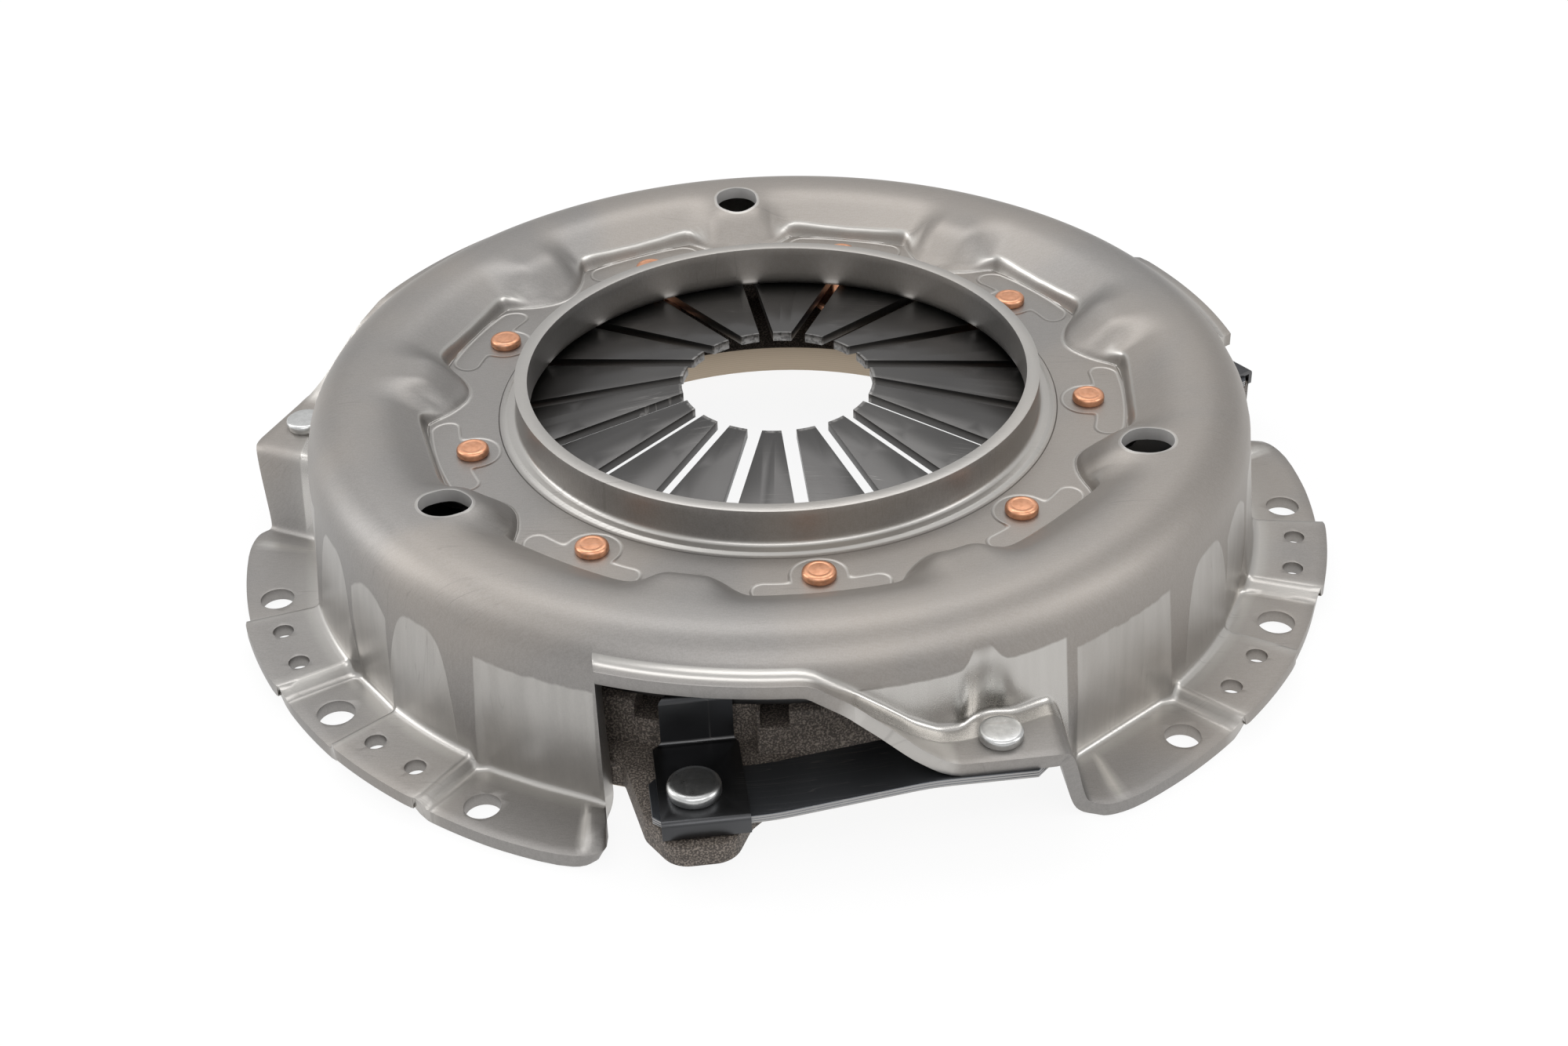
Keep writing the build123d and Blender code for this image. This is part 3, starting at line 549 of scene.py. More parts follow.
# Circle, angle from the sector's middle, and bore: the locating hole, the bolt holes, the tooling holes.
HOLES = [(BOLT_CIRCLE, 0.0, 9.8), (BOLT_CIRCLE, -22.5, 9.1), (BOLT_CIRCLE, 22.5, 9.1)]
HOLES += [(TOOLING_CIRCLE, side * spread, 5.5) for spread in (8.3, 14.3) for side in (-1, 1)]
flange_middles = [WINDOW_MIDDLE + 60 + PITCH * k for k in range(SECTORS)]
punches = bmesh.new()
for middle in flange_middles:
    for radius, angle, bore in HOLES:
        punch(punches, radius, middle + angle, bore, -6, 16)
    punch(punches, SLOT_CIRCLE, middle, SLOT_BORE, 38, 60, stretch=SLOT_STRETCH)
punch_set = mesh_object("punches", punches)
cut = cover.modifiers.new("punch", "BOOLEAN")
cut.operation = "DIFFERENCE"
cut.solver = "EXACT"
cut.object = punch_set
apply_modifiers(cover)
bpy.data.objects.remove(punch_set)
print("holes in each flange sector:", len(HOLES), "faces after punching:", len(cover.data.polygons))

# %% [markdown]
# ## Sheared edges
#
# Shears and punches leave an edge with a small roll-over on one side. Every sharp edge of the sheet gets a
# narrow round. The slots in the crown were struck from above, so their upper lip is drawn in much further.

# %% Rounded edges
def sharp_edges(made, degrees):
    """Edges between two faces that meet at more than an angle."""
    return [e for e in made.edges if e.is_manifold and e.calc_face_angle() > radians(degrees)]


def near_slot(point):
    """True at the upper lip of a slot."""
    reach = point.to_2d().length / MM
    azimuth = np.degrees(np.arctan2(point.y, point.x)) - WINDOW_MIDDLE - 60
    across = reach * np.radians((azimuth + 60) % 120 - 60)
    return abs(across) < 7.0 and abs(reach - SLOT_CIRCLE) < 8.0


made = bmesh.new()
made.from_mesh(cover.data)
bmesh.ops.remove_doubles(made, verts=made.verts, dist=0.01 * MM)
made.faces.ensure_lookup_table()
lips = [e for e in sharp_edges(made, 40) if all(near_slot(v.co) for v in e.verts)
        and max(f.normal.z for f in e.link_faces) > 0.5]
rounded(made, lips, 0.7, 3)
rims = [e for e in sharp_edges(made, 58) if not all(near_slot(v.co) for v in e.verts)]
rounded(made, rims, 0.3, 2)
made.to_mesh(cover.data)
made.free()
shade(cover.data, 42)
print("cover triangles:", sum(len(p.vertices) - 2 for p in cover.data.polygons))

# %% [markdown]
# ## Rivets
#
# A rivet is turned: one profile, spun once round its axis. The copper-flashed fulcrum rivets are set
# with a flat punch, so their heads are squat and their rims are rounded. The strap rivets have a wide
# flat face inside a chamfer.

# %% Rivet maker
def turned_piece(made, profile, segments=40):
    """Spins a profile of (radius, height) points round Z; it starts and ends on the axis."""
    points = [made.verts.new((r * MM, 0, z * MM)) for r, z in profile]
    edges = [made.edges.new(pair) for pair in zip(points, points[1:])]
    spin_round(made, points + edges, segments)


def rivet(name, profile, azimuth, radius, slot, body, node):
    """A turned rivet, moved out to its circle."""
    made = bmesh.new()
    turned_piece(made, profile)
    place = Matrix.Rotation(radians(azimuth), 4, "Z") @ Matrix.Translation((radius * MM, 0, 0))
    bmesh.ops.transform(made, verts=made.verts, matrix=place)
    return new_piece(name, made, body, node)


# %% Nine fulcrum rivets
fulcrum_profile = [
    (0, 26.12), (7.9, 26.12), (8.5, 26.7), (8.5, 28.2), (8.0, 28.7), (3.6, 28.7), (3.6, 38.7), (2.95, 38.8),
    (2.95, 42.2), (4.1, 42.3), (4.34, 42.7), (4.35, 43.5), (4.22, 44.0), (3.95, 44.33), (3.5, 44.5),
    (2.9, 44.54), (2.75, 44.48), (2.5, 44.5), (1.2, 44.58), (0, 44.6)]
fulcrum_rivets = []
for number in range(9):
    azimuth = WINDOW_MIDDLE + 40 * number
    fulcrum_rivets.append(rivet(f"copper_rivet_{number + 1}", fulcrum_profile, azimuth, RIVET_CIRCLE,
                                "coppered_rivet", "housing", f"fulcrum_rivet_{number + 1}"))
print("fulcrum rivets:", len(fulcrum_rivets), "faces each:", len(fulcrum_rivets[0].data.polygons))

# %% Six strap rivets
STRAP_RIVET_TURN, STRAP_RIVET_CIRCLE = 15.3, 137.05
ear_profile = [
    (0, 17.6), (4.6, 17.6), (5.2, 18.1), (5.3, 18.8), (5.3, 19.8), (3.5, 19.9), (3.5, 25.4), (5.1, 25.5),
    (5.35, 25.9), (5.35, 27.3), (5.2, 27.75), (4.85, 28.02), (4.3, 28.1), (2.0, 28.06), (0, 28.05)]
lug_profile = [
    (0, 7.6), (4.6, 7.6), (5.2, 8.1), (5.3, 8.8), (5.3, 9.8), (3.5, 9.9), (3.5, 18.1), (6.2, 18.2),
    (6.5, 18.6), (6.5, 20.2), (6.35, 20.7), (5.95, 21.1), (5.3, 21.28), (4.8, 21.3), (2.4, 21.22), (0, 21.2)]
strap_rivets = []
for number in range(SECTORS):
    middle = WINDOW_MIDDLE + PITCH * number
    for name, profile, side, body, node in (("ear", ear_profile, 1, "housing", "cover"),
                                            ("lug", lug_profile, -1, "plate", "plate")):
        strap_rivets.append(rivet(f"{name}_rivet_{number + 1}", profile, middle + side * STRAP_RIVET_TURN,
                                  STRAP_RIVET_CIRCLE, "zinc_rivet", body, f"strap_{node}_rivet_{number + 1}"))
print("strap rivets:", len(strap_rivets))

# %% [markdown]
# ## Wire rings
#
# Two rings of drawn wire carry the spring, one over it and one under it. Each is a small circle spun
# once round the clutch's axis. The wire is a little thinner than the gap it fills, which leaves the
# spring room to rock as the fingers are pressed. The lower ring is out of sight, so it gives most room.

# %% Wire rings
def wire_ring(name, radius, height, wire, node):
    """A ring of round wire, spun from its section."""
    made = bmesh.new()
    circle = bmesh.ops.create_circle(made, segments=16, radius=wire / 2 * MM, cap_ends=False)["verts"]
    stand = Matrix.Translation((radius * MM, 0, height * MM)) @ Matrix.Rotation(pi / 2, 4, "X")
    bmesh.ops.transform(made, verts=circle, matrix=stand)
    spin_round(made, made.verts[:] + made.edges[:], 150)
    return new_piece(name, made, "housing", node)


rings = []
for name, room in (("upper", 0.3), ("lower", 1.2)):    # millimetres left free for the rocking spring
    node = f"{name}_fulcrum_ring"
    low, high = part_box(node)
    wire = (high.z - low.z) / MM
    radius, height = high.x / MM - wire / 2, (high.z + low.z) / 2 / MM
    rings.append(wire_ring(f"{name}_ring", radius, height, wire - room, node))
    print(name, "ring: wire", round(wire - room, 2), "mm")

# %% [markdown]
# ## Pieces refined from the solids
#
# The spring, the straps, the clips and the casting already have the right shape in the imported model, but
# their edges are perfectly sharp, and no real edge is. A merged copy gets its flat faces joined and each
# hard edge beveled, so that the edges catch the light.

# %% Refining a solid
def refined(node, name, width, body, segments=2, cut_sides=False):
    """A merged and beveled copy of a CAD node; its "worn" attribute marks bare edges and cut sides."""
    made = bmesh.new()
    made.from_mesh(nodes[node].data)
    bmesh.ops.remove_doubles(made, verts=made.verts, dist=0.002 * MM)
    bmesh.ops.dissolve_limit(made, angle_limit=radians(0.25), verts=made.verts, edges=made.edges)
    rounded(made, sharp_edges(made, 35), width, segments)
    worn = made.faces.layers.float.new("worn")
    for face in made.faces:
        narrow = min(e.calc_length() for e in face.edges) < 0.8 * width * MM
        face[worn] = 1.0 if narrow or (cut_sides and abs(face.normal.z) < 0.4) else 0.0
    print(name, "faces:", len(made.faces))
    return new_piece(name, made, body, node)


casting = refined("pressure_plate", "plate_casting", 0.6, "plate")
spring = refined("diaphragm_spring", "diaphragm", 0.3, None)
clips = [refined(f"retraction_clip_{k}", f"clip_{k}", 0.2, "plate") for k in (1, 2, 3)]
straps = []
for k in (1, 2, 3):
    for leaf in (1, 2, 3):
        straps.append(refined(f"drive_strap_{k}_leaf_{leaf}", f"strap_{k}_leaf_{leaf}", 0.12,
                              None, segments=1, cut_sides=True))

# %% [markdown]
# ## Springs that bend
#
# The diaphragm rocks on its rings: its rim lifts the plate while its tips go down. The straps bend from
# the ear to the lug. For both, the share of the second body is worked out at each point and its range
# printed.

# %% Shares for the bending pieces
def bend(piece, first, second, share):
    """Bakes the piece's place into its mesh and prints the range of the share at its points; first and second
    are not used.
    """
    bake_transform(piece)
    places = np.array([v.co for v in piece.data.vertices]) / MM
    weights = np.clip(share(places), 0, 1)
    print(piece.name, "share", round(float(weights.min()), 2), "to", round(float(weights.max()), 2))


SPRING_RIM = 112.0                 # radius at which the spring pushes on the plate
PIVOT, PIVOT_SHARE = 91.4, 0.233   # the radius that keeps still, and the diaphragm body's share there
STRAP_REACH = 36.2                 # half the distance between the two rivets of a strap


def rocking(places):
    """The spring keeps still between the two wire rings; its rim goes up with the plate, its tips go down."""
    return (SPRING_RIM - np.hypot(places[:, 0], places[:, 1])) * PIVOT_SHARE / (SPRING_RIM - PIVOT)


def from_ear(places, along):
    """Part of the way from the ear's rivet to the lug's, for places on a strap that runs along an azimuth."""
    reach = STRAP_REACH - places[:, 0] * cos(along) - places[:, 1] * sin(along)
    return reach / (2 * STRAP_REACH)


bend(spring, "plate", "diaphragm", rocking)
for number, strap in enumerate(straps):
    along = radians(WINDOW_MIDDLE + PITCH * (number // 3) + 90)
    bend(strap, "housing", "plate", lambda places: from_ear(places, along))

# %% [markdown]
# ## Camera
#
# The camera stands in front of a window and looks down on the part at about 34 degrees, far enough back
# for a calm perspective. Its axes are built from the elevation and a slight roll, because a matrix says
# both at once and needs no helper object to aim at.

# %% Camera
CAMERA_PLACE = (0.657, -541.41, 371.24)
elevation, roll = radians(34.397), radians(1.8045)
right = Vector((1, 0, 0))
back = Vector((0, -cos(elevation), sin(elevation)))
up = back.cross(right)
camera_x = right * cos(roll) - up * sin(roll)
camera_y = right * sin(roll) + up * cos(roll)
lens = bpy.data.cameras.new("camera")
lens.lens = 52.735
lens.sensor_width = 36.0
lens.sensor_fit = "HORIZONTAL"
camera = in_scene("camera", lens)
turn = Matrix((camera_x, camera_y, back)).transposed().to_4x4()
camera.matrix_world = Matrix.Translation(Vector(CAMERA_PLACE) * MM) @ turn
bpy.context.scene.camera = camera
bpy.context.scene.view_settings.view_transform = "Standard"
print("camera:", CAMERA_PLACE, "mm, lens", round(lens.lens, 2), "mm")

# %% [markdown]
# ## Sums in a shader
#
# Many marks on the sheet lie at known places: the coined pad round each rivet, the patches that the die
# has ironed bright. Their masks are short sums of the object's own coordinates. This helper lets such a
# sum be written as a formula; each operator adds one Math node.

# %% Formula helper
def fill(node, **values):
    """Sets inputs of a node; from_min stands for the input From Min."""
    for title, value in values.items():
        node.inputs[title.replace("_", " ").title()].default_value = value


class Sum:
    """A value in a node tree."""

    def __init__(self, tree, socket):
        self.tree, self.socket = tree, socket

    def math(self, operation, *others):
        node = self.tree.nodes.new("ShaderNodeMath")
        node.operation = operation
        for place, value in zip(node.inputs, (self,) + others):
            if isinstance(value, Sum):
                self.tree.links.new(value.socket, place)
            else:
                place.default_value = value
        return Sum(self.tree, node.outputs[0])

    __add__ = partialmethod(math, "ADD")
    __sub__ = partialmethod(math, "SUBTRACT")
    __mul__ = partialmethod(math, "MULTIPLY")
    __truediv__ = partialmethod(math, "DIVIDE")
    at_least = partialmethod(math, "MAXIMUM")
    abs = partialmethod(math, "ABSOLUTE")

    def step(self, low, high):
        """0 at low, 1 at high, smooth between; low may be the greater."""
        node = self.tree.nodes.new("ShaderNodeMapRange")
        node.interpolation_type = "SMOOTHSTEP"
        fall = float(low > high)
        fill(node, from_min=min(low, high), from_max=max(low, high), to_min=fall, to_max=1.0 - fall)
        self.tree.links.new(self.socket, node.inputs["Value"])
        return Sum(self.tree, node.outputs["Result"])

    def near(self, middle, half, edge):
        """1 within half of the middle, falling to 0 over the edge."""
        return (self - middle).abs().step(half + edge, half)


def place_of(tree):
    """Object coordinates as x, y and z in millimetres, radius in millimetres and azimuth in degrees."""
    coordinates = tree.nodes.new("ShaderNodeTexCoord")
    parts = tree.nodes.new("ShaderNodeSeparateXYZ")
    tree.links.new(coordinates.outputs["Object"], parts.inputs[0])
    x, y, z = [Sum(tree, socket) * 1000.0 for socket in parts.outputs]
    radius = (x * x + y * y).math("SQRT")
    azimuth = y.math("ARCTAN2", x) * (180 / pi)
    return x, y, z, radius, azimuth


def noise(tree, scale, stretch=(1, 1, 1), detail=2.0, turn=0.0, distortion=0.0):
    """Noise over the object's own coordinates, in waves per metre, stretched along its axes."""
    coordinates = tree.nodes.new("ShaderNodeTexCoord")
    mapping = tree.nodes.new("ShaderNodeMapping")
    fill(mapping, scale=stretch, rotation=(0, 0, radians(turn)))
    field = tree.nodes.new("ShaderNodeTexNoise")
    fill(field, scale=scale, detail=detail, distortion=distortion)
    tree.links.new(coordinates.outputs["Object"], mapping.inputs["Vector"])
    tree.links.new(mapping.outputs["Vector"], field.inputs["Vector"])
    return Sum(tree, field.outputs["Fac"])


# %% [markdown]
# ## Wear that every metal shares
#
# Handling leaves the same marks on every bare or blued part: a fine grain from rolling, a slow cloudiness
# from oil and fingers, small mottles in a coating, and a few hairline scratches. One node group makes
# them all, and each material says how strong its scratches are. A second group shows bare metal on the
# edges that the "worn" attribute marks.

# %% Shared wear groups
def shared_group(name, inputs, outputs):
    """A node group with number sockets; gives its tree and its inputs."""
    tree = bpy.data.node_groups.new(name, "ShaderNodeTree")
    for way, titles in (("INPUT", inputs), ("OUTPUT", outputs)):
        for title in titles:
            tree.interface.new_socket(title, in_out=way, socket_type="NodeSocketFloat")
    start = tree.nodes.new("NodeGroupInput")
    return tree, {title: Sum(tree, start.outputs[title]) for title in inputs}


def send(tree, values):
    """Links values to the outputs of a group."""
    end = tree.nodes.new("NodeGroupOutput")
    for title, value in values.items():
        tree.links.new(value.socket, end.inputs[title])


def hairlines(tree, turn, seed_scale):
    """Thin broken lines in one direction."""
    lines = noise(tree, 1.0, (18, 520, 18), 1.0, turn, 0.25)
    gate = noise(tree, seed_scale, detail=1.0)
    return (lines - 0.5).abs().step(0.012, 0.0) * gate.step(0.60, 0.68)


def attribute(tree, name):
    """A value that the piece's own mesh carries."""
    node = tree.nodes.new("ShaderNodeAttribute")
    node.attribute_name = name
    return Sum(tree, node.outputs["Fac"])


handling, given = shared_group("handling_marks", ["Scratch Strength"],
                               ["Grain", "Cloud", "Mottle", "Scratches"])
grain = noise(handling, 2600.0, detail=1.0) * 0.6 + noise(handling, 500.0, (1, 6, 1), 1.0, 35.0) * 0.4
cloud = noise(handling, 13.0, detail=3.0, distortion=0.4)
mottle = noise(handling, 700.0, detail=2.0)
scratches = hairlines(handling, 24.0, 31.0).at_least(hairlines(handling, -63.0, 37.0))
scratches = scratches.at_least(hairlines(handling, 105.0, 26.0)) * given["Scratch Strength"]
send(handling, {"Grain": grain, "Cloud": cloud, "Mottle": mottle, "Scratches": scratches})

bare_edges, given = shared_group("bare_edges", ["Strength"], ["Bare"])
send(bare_edges, {"Bare": attribute(bare_edges, "worn") * given["Strength"]})
print("nodes in the wear groups:", len(handling.nodes), len(bare_edges.nodes))


def use_group(tree, group, **values):
    """Places a group in a material with the material's own values."""
    node = tree.nodes.new("ShaderNodeGroup")
    node.node_tree = group
    fill(node, **values)
    return {socket.name: Sum(tree, socket) for socket in node.outputs}


# %% Material helpers
def material(name):
    """A new material with its node tree and its shader."""
    made = bpy.data.materials.new(name)
    made.use_nodes = True
    return made, made.node_tree, made.node_tree.nodes["Principled BSDF"]


def mixed(tree, amount, first, second):
    """Colour between two colours; each is a tuple or the socket of another mix."""
    node = tree.nodes.new("ShaderNodeMix")
    node.data_type = "RGBA"
    tree.links.new(amount.socket, node.inputs["Factor"])
    for place, value in ((node.inputs[6], first), (node.inputs[7], second)):
        if isinstance(value, tuple):
            place.default_value = (*value, 1)
        else:
            tree.links.new(value, place)
    return node.outputs[2]


def link_finish(tree, shader, color, roughness, relief, metallic=None):
    """Links a finish to the shader: plain metal unless metallic varies, relief in millimetres."""
    tree.links.new(color, shader.inputs["Base Color"])
    tree.links.new(roughness.socket, shader.inputs["Roughness"])
    shader.inputs["Metallic"].default_value = 1.0
    if metallic:
        tree.links.new(metallic.socket, shader.inputs["Metallic"])
    bump = tree.nodes.new("ShaderNodeBump")
    fill(bump, strength=1.0, distance=MM)
    tree.links.new(relief.socket, bump.inputs["Height"])
    tree.links.new(bump.outputs["Normal"], shader.inputs["Normal"])


def dress(finish, *pieces):
    """Gives the pieces one material, and no other."""
    for piece in pieces:
        piece.data.materials.clear()
        piece.data.materials.append(finish)
        for polygon in piece.data.polygons:
            polygon.material_index = 0
    print(finish.name, "on pieces:", len(pieces))


# %% [markdown]
# ## Pressed steel
#
# Bare drawing steel is a warm satin grey. The die leaves it bright on the wall over the flange pads and
# round the ears. On the sharp brows behind the pockets, along the bends and creases, at the collar's foot
# and round the slots' lips the colour is a painted highlight, with some die burnish. Each rivet stands on a
# T-shaped pad that is coined a few tenths of a millimetre deep, seen only by its fine outline, which carries
# a thin painted highlight.

# %% Coined pads and ironed patches
def folded_angle(azimuth, pitch, middle):
    """Degrees from the nearest of a row of places, with the sign kept."""
    turns = (azimuth - middle) / pitch
    return (turns - turns.math("ROUND")) * pitch


def coined_pad(radius, azimuth):
    """Signed distance from the outline of the pad round a rivet, in millimetres."""
    across = folded_angle(azimuth, 40.0, WINDOW_MIDDLE) * radius * (pi / 180)
    bar_x = (across.abs() - 13.6).at_least(0.0)
    bar_y = radius - 91.0
    bar = (bar_x * bar_x + bar_y * bar_y).math("SQRT") - 4.0
    up = radius - RIVET_CIRCLE
    stem = (across * across + up * up).math("SQRT") - 7.5
    return bar.math("SMOOTH_MIN", stem, 3.0)


def ironed_patches(tree, z, azimuth):
    """Mask of the bright patches on the wall, all given from the middle of a flange sector."""
    frayed = (noise(tree, 1.0, (300, 300, 90), 2.0) - 0.5) * 1.6
    off = folded_angle(azimuth, PITCH, WINDOW_MIDDLE + 60)
    side = off.abs() + frayed * 0.12
    ends = side.near(25.9, 7.3, 0.25) * (z + frayed).step(36.8, 35.9)
    arch = ((side - 9.8) / 4.8).math("POWER", 4.0) * 12.6 + z
    raised = (arch + frayed * 0.5).step(38.2, 37.2) * z.step(8.6, 9.4)
    middle = (z + off * off * 0.3 + frayed * 0.7).step(37.6, 36.6) * side.step(4.1, 3.8)
    ear = folded_angle(azimuth, PITCH, WINDOW_MIDDLE + 15.2)
    tongue = (ear * ear * -0.34).math("EXPONENT") * 6.4
    ear = (z - tongue + frayed * 0.4).step(40.7, 39.9) * ear.near(-2.3, 12.2, 0.3)
    return ends.at_least(raised).at_least(middle), ear


def slot_gap(radius, azimuth):
    """Distance from the sheared wall of a crown slot."""
    across = folded_angle(azimuth, PITCH, WINDOW_MIDDLE + 60) * radius * (pi / 180)
    beyond = ((radius - SLOT_CIRCLE).abs() - SLOT_STRETCH).at_least(0.0)
    return (across * across + beyond * beyond).math("SQRT") - SLOT_BORE / 2


# %% Where the pressing is bright, and where highlight is painted
steel, tree, shader = material("pressed_steel")
x, y, z, radius, azimuth = place_of(tree)
marks = use_group(tree, handling, scratch_strength=0.3)
# The pressing's attribute: painted highlight on bends, brows and creases, with some die burnish.
burnish_and_highlight = attribute(tree, "burnish_and_highlight")
pad = coined_pad(radius, azimuth)
on_ring = radius.near(86.0, 9.3, 0.4) * z.near(RING_TOP, 0.25, 0.2)
# A thin light line inside the pad's outline, painted as the highlight on its coined edge.
pad_edge_highlight = pad.near(-0.35, 0.15, 0.35) * on_ring
ironed, ear = ironed_patches(tree, z, azimuth)
wall = z.near(26.0, 22.0, 0.6) * radius.near(131.0, 3.5, 0.8)
ironed, ear = ironed * wall, ear * wall
streaks = noise(tree, 1.0, (420, 420, 22), 2.0).step(0.3, 0.75)
rim = z.near(COLLAR_TOP, 0.12, 0.1) * radius.step(73.0, 72.6)
gap = slot_gap(radius, azimuth)
crown = z.step(40.0, 42.0)
sheared = gap.step(0.3, 0.12) * crown
# Lighter steel: painted highlight from the attribute, the pad outlines and the slot lips, with the real
# bright ironed patches, ears and ground rim.
highlight_and_bright_wear = burnish_and_highlight.at_least(pad_edge_highlight * 0.45).at_least(ironed * (streaks * 0.12 + 0.40))
highlight_and_bright_wear = highlight_and_bright_wear.at_least(ear * (streaks * 0.08 + 0.70)).at_least(rim * 0.5)
# A painted highlight round the rounded upper lip of each slot.
highlight_and_bright_wear = highlight_and_bright_wear.at_least(gap.near(0.45, 0.15, 0.35) * crown * 0.45)

# %% Pressed steel finish
warmth = marks["Cloud"].step(0.40, 0.62)
color = mixed(tree, warmth, (0.262, 0.252, 0.243), (0.308, 0.284, 0.261))
color = mixed(tree, marks["Grain"].step(0.3, 0.7) * 0.22, color, (0.46, 0.44, 0.42))
# Painted highlight and the bright wear lighten the steel to this colour.
color = mixed(tree, highlight_and_bright_wear, color, (0.56, 0.545, 0.52))
color = mixed(tree, marks["Scratches"], color, (0.20, 0.19, 0.18))
color = mixed(tree, sheared, color, (0.42, 0.41, 0.40))
roughness = marks["Cloud"] * 0.16 + 0.36 - highlight_and_bright_wear * 0.20 - ear * 0.06 + marks["Grain"] * 0.08
relief = marks["Grain"] * 0.02 - marks["Scratches"] * 0.04 + pad.step(-0.5, 0.4) * on_ring * 0.28
relief = relief - ironed * 0.04 - ear * 0.08
link_finish(tree, shader, color, roughness.at_least(0.14), relief, sheared * -0.55 + 1.0)
dress(steel, cover)

# %% [markdown]
# ## Cast iron
#
# The plate is a sand casting: dark, with a skin like coarse paper. Its friction face and its bore are
# turned afterwards, and come out lighter and tan, with fine tool rings.

# %% Casting finish
iron, tree, shader = material("cast_iron")
x, y, z, radius, azimuth = place_of(tree)
marks = use_group(tree, handling)
grit = noise(tree, 2100.0, detail=3.0)
lumps = noise(tree, 170.0, detail=2.0)
turned_face = z.step(6.6, 6.3).at_least(radius.step(76.6, 76.3) * z.step(14.4, 14.1))
tool_rings = ((z + radius) * 9.0).math("SINE") * 0.5 + 0.5
cast = mixed(tree, grit.step(0.42, 0.68), (0.050, 0.041, 0.035), (0.22, 0.187, 0.158))
tan_face = mixed(tree, tool_rings, (0.46, 0.38, 0.29), (0.52, 0.43, 0.33))
color = mixed(tree, turned_face, cast, tan_face)
roughness = turned_face * -0.10 + 0.56 + marks["Cloud"] * 0.1
relief = (grit * 0.26 + lumps * 0.30) * (turned_face * -1.0 + 1.0) + turned_face * tool_rings * 0.006
link_finish(tree, shader, color, roughness, relief, turned_face * 0.5 + 0.25)
dress(iron, casting)

# %% [markdown]
# ## Dark and blued spring steel
#
# The diaphragm is hardened and oil-dark, the straps and clips are blued in the furnace. All of them are
# cut after or rub in use, so their edges show bare metal.

# %% Dark sheet finish
def dark_sheet(name, dark, light, roughness, edge, tip_circle=0.0):
    """Dark sheet with bare edges; inside the tip circle the ends are worn bright too."""
    made, tree, shader = material(name)
    marks = use_group(tree, handling, scratch_strength=0.5)
    bare = use_group(tree, bare_edges, strength=edge)["Bare"]
    if tip_circle:
        at_tip = place_of(tree)[3].step(tip_circle + 0.5, tip_circle)
        bare = bare.at_least(at_tip * noise(tree, 900.0).step(0.3, 0.6) * 0.5)
    color = mixed(tree, marks["Cloud"].step(0.35, 0.65), dark, light)
    color = mixed(tree, marks["Scratches"], color, (0.30, 0.29, 0.28))
    color = mixed(tree, bare, color, (0.42, 0.41, 0.40))
    relief = marks["Grain"] * 0.010 - marks["Scratches"] * 0.02
    link_finish(tree, shader, color, marks["Cloud"] * 0.18 + roughness - 0.09, relief)
    return made


dark_steel = dark_sheet("spring_steel", (0.080, 0.078, 0.077), (0.120, 0.117, 0.114), 0.34, 0.4, 26.7)
blued_strap = dark_sheet("blued_strap", (0.100, 0.106, 0.116), (0.140, 0.147, 0.158), 0.42, 0.8)
blued_clip = dark_sheet("blued_clip", (0.065, 0.066, 0.069), (0.100, 0.101, 0.105), 0.36, 0.12)
dress(dark_steel, spring)
dress(blued_strap, *straps)
dress(blued_clip, *clips)

# %% [markdown]
# ## Rivets and wire
#
# Copper flashing tarnishes in the hollows and polishes on the rims. Zinc stays pale and slightly cloudy.

# %% Rivet and wire finishes
def plated(name, base, dull, roughness):
    """A coated or drawn metal, mottled between two colours."""
    made, tree, shader = material(name)
    marks = use_group(tree, handling, scratch_strength=0.4)
    color = mixed(tree, marks["Mottle"].step(0.35, 0.7), base, dull)
    color = mixed(tree, marks["Scratches"], color, (0.35, 0.30, 0.27))
    relief = marks["Mottle"] * 0.008 + marks["Grain"] * 0.008
    link_finish(tree, shader, color, marks["Mottle"] * 0.14 + roughness - 0.07, relief)
    return made


copper = plated("coppered_rivet", (0.72, 0.37, 0.225), (0.60, 0.29, 0.17), 0.36)
zinc = plated("zinc_rivet", (0.60, 0.605, 0.60), (0.52, 0.525, 0.52), 0.30)
wire = plated("drawn_wire", (0.34, 0.33, 0.32), (0.24, 0.23, 0.22), 0.30)
dress(copper, *fulcrum_rivets)
dress(zinc, *strap_rivets)
dress(wire, *rings)

# %% [markdown]
# ## Floor and light
#
# A pale floor and a wide white surround, as in a light tent: bare steel mostly shows what is round it, so
# a broad even light keeps it grey and soft. Four large lamps add slow gradients. The floor looks white
# from above and is left open from below, where the underside of the part is worth a look.

# %% Floor
def white_to_camera(tree, lit, share):
    """Mixes plain white over a lit surface, for rays that see it directly or in a mirror."""
    path = tree.nodes.new("ShaderNodeLightPath")
    seen = Sum(tree, path.outputs["Is Camera Ray"]).at_least(Sum(tree, path.outputs["Is Transmission Ray"]))
    seen = seen.at_least(Sum(tree, path.outputs["Is Glossy Ray"]))
    white = tree.nodes.new("ShaderNodeEmission")
    fill(white, strength=1.0)
    mix = tree.nodes.new("ShaderNodeMixShader")
    tree.links.new((seen * share).socket, mix.inputs["Fac"])
    tree.links.new(lit, mix.inputs[1])
    tree.links.new(white.outputs[0], mix.inputs[2])
    return mix.outputs[0]


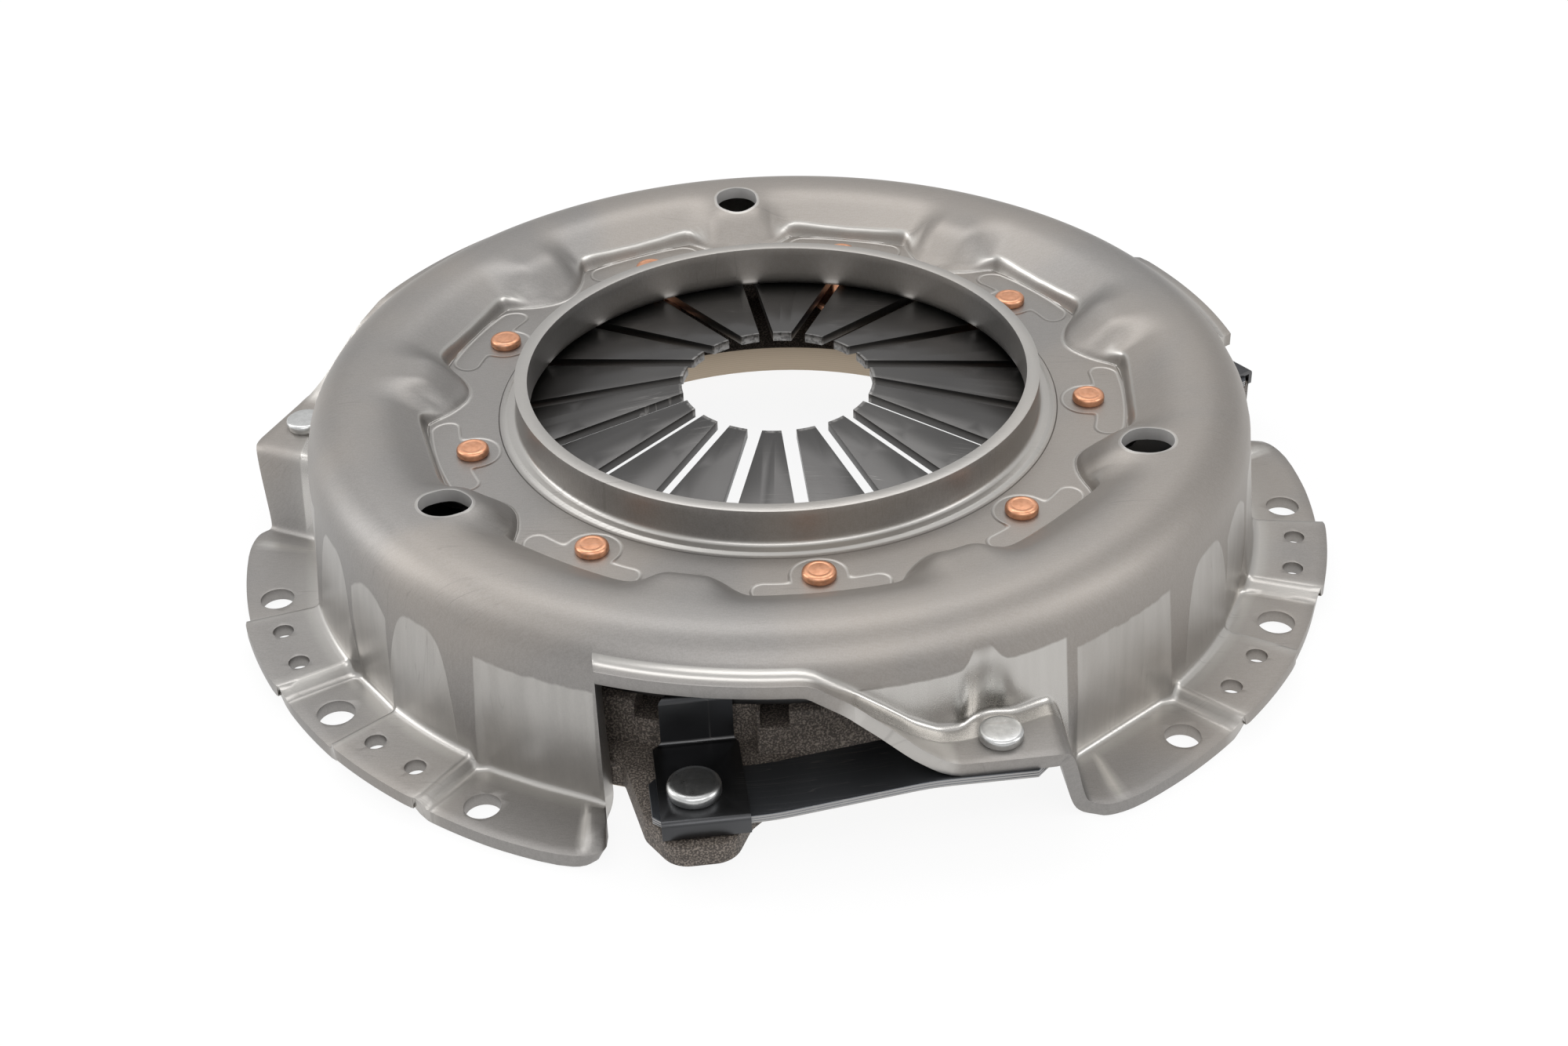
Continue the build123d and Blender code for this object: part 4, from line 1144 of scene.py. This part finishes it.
FLOOR_DROP = 0.5 * MM    # keeps the floor clear of the flange's face
ground = bmesh.new()
bmesh.ops.create_grid(ground, x_segments=1, y_segments=1, size=4.0)
bmesh.ops.translate(ground, verts=ground.verts, vec=(0, 0, -FLOOR_DROP))
floor = mesh_object("floor", ground)
paper, tree, shader = material("pale_floor")
fill(shader, base_color=(0.9, 0.9, 0.9, 1), roughness=0.9)
paper_white = white_to_camera(tree, shader.outputs[0], 0.9)
one_sided = tree.nodes.new("ShaderNodeMixShader")
side = tree.nodes.new("ShaderNodeNewGeometry")
tree.links.new(side.outputs["Backfacing"], one_sided.inputs["Fac"])
tree.links.new(paper_white, one_sided.inputs[1])
tree.links.new(tree.nodes.new("ShaderNodeBsdfTransparent").outputs[0], one_sided.inputs[2])
tree.links.new(one_sided.outputs[0], tree.nodes["Material Output"].inputs["Surface"])
floor.data.materials.append(paper)
print("floor at", -FLOOR_DROP, "m")

# %% Surround and lamps
world = bpy.data.worlds.new("studio")
bpy.context.scene.world = world
world.use_nodes = True
tree = world.node_tree
surround = tree.nodes["Background"]
view = tree.nodes.new("ShaderNodeTexCoord")
parts = tree.nodes.new("ShaderNodeSeparateXYZ")
tree.links.new(view.outputs["Generated"], parts.inputs[0])
sideways, height = Sum(tree, parts.outputs[0]), Sum(tree, parts.outputs[2])
level = height.step(0.0, 0.95) * 0.22 + 0.66 - sideways * 0.06
tree.links.new(mixed(tree, level, (0, 0, 0), (1.0, 1.0, 1.0)), surround.inputs["Color"])


def softbox(name, place, aim, size, watts):
    """Large rectangular lamp that looks at a point."""
    lamp = bpy.data.lights.new(name, "AREA")
    lamp.shape = "RECTANGLE"
    lamp.size, lamp.size_y = size
    lamp.energy = watts
    holder = in_scene(name, lamp)
    holder.location = place
    holder.rotation_euler = (Vector(aim) - Vector(place)).to_track_quat("-Z", "Y").to_euler()
    print(name, watts, "W")


softbox("front_light", (0.1, -0.85, 0.95), (0, 0, 0), (1.3, 0.5), 4)
softbox("top_light", (-0.1, 0.45, 1.0), (0, 0, 0), (1.1, 0.5), 3.5)
softbox("left_light", (-1.1, 0.2, 0.55), (0, 0, 0.02), (0.5, 0.9), 4)
softbox("right_light", (1.0, -0.3, 0.6), (0, 0, 0.02), (0.4, 0.7), 2.5)
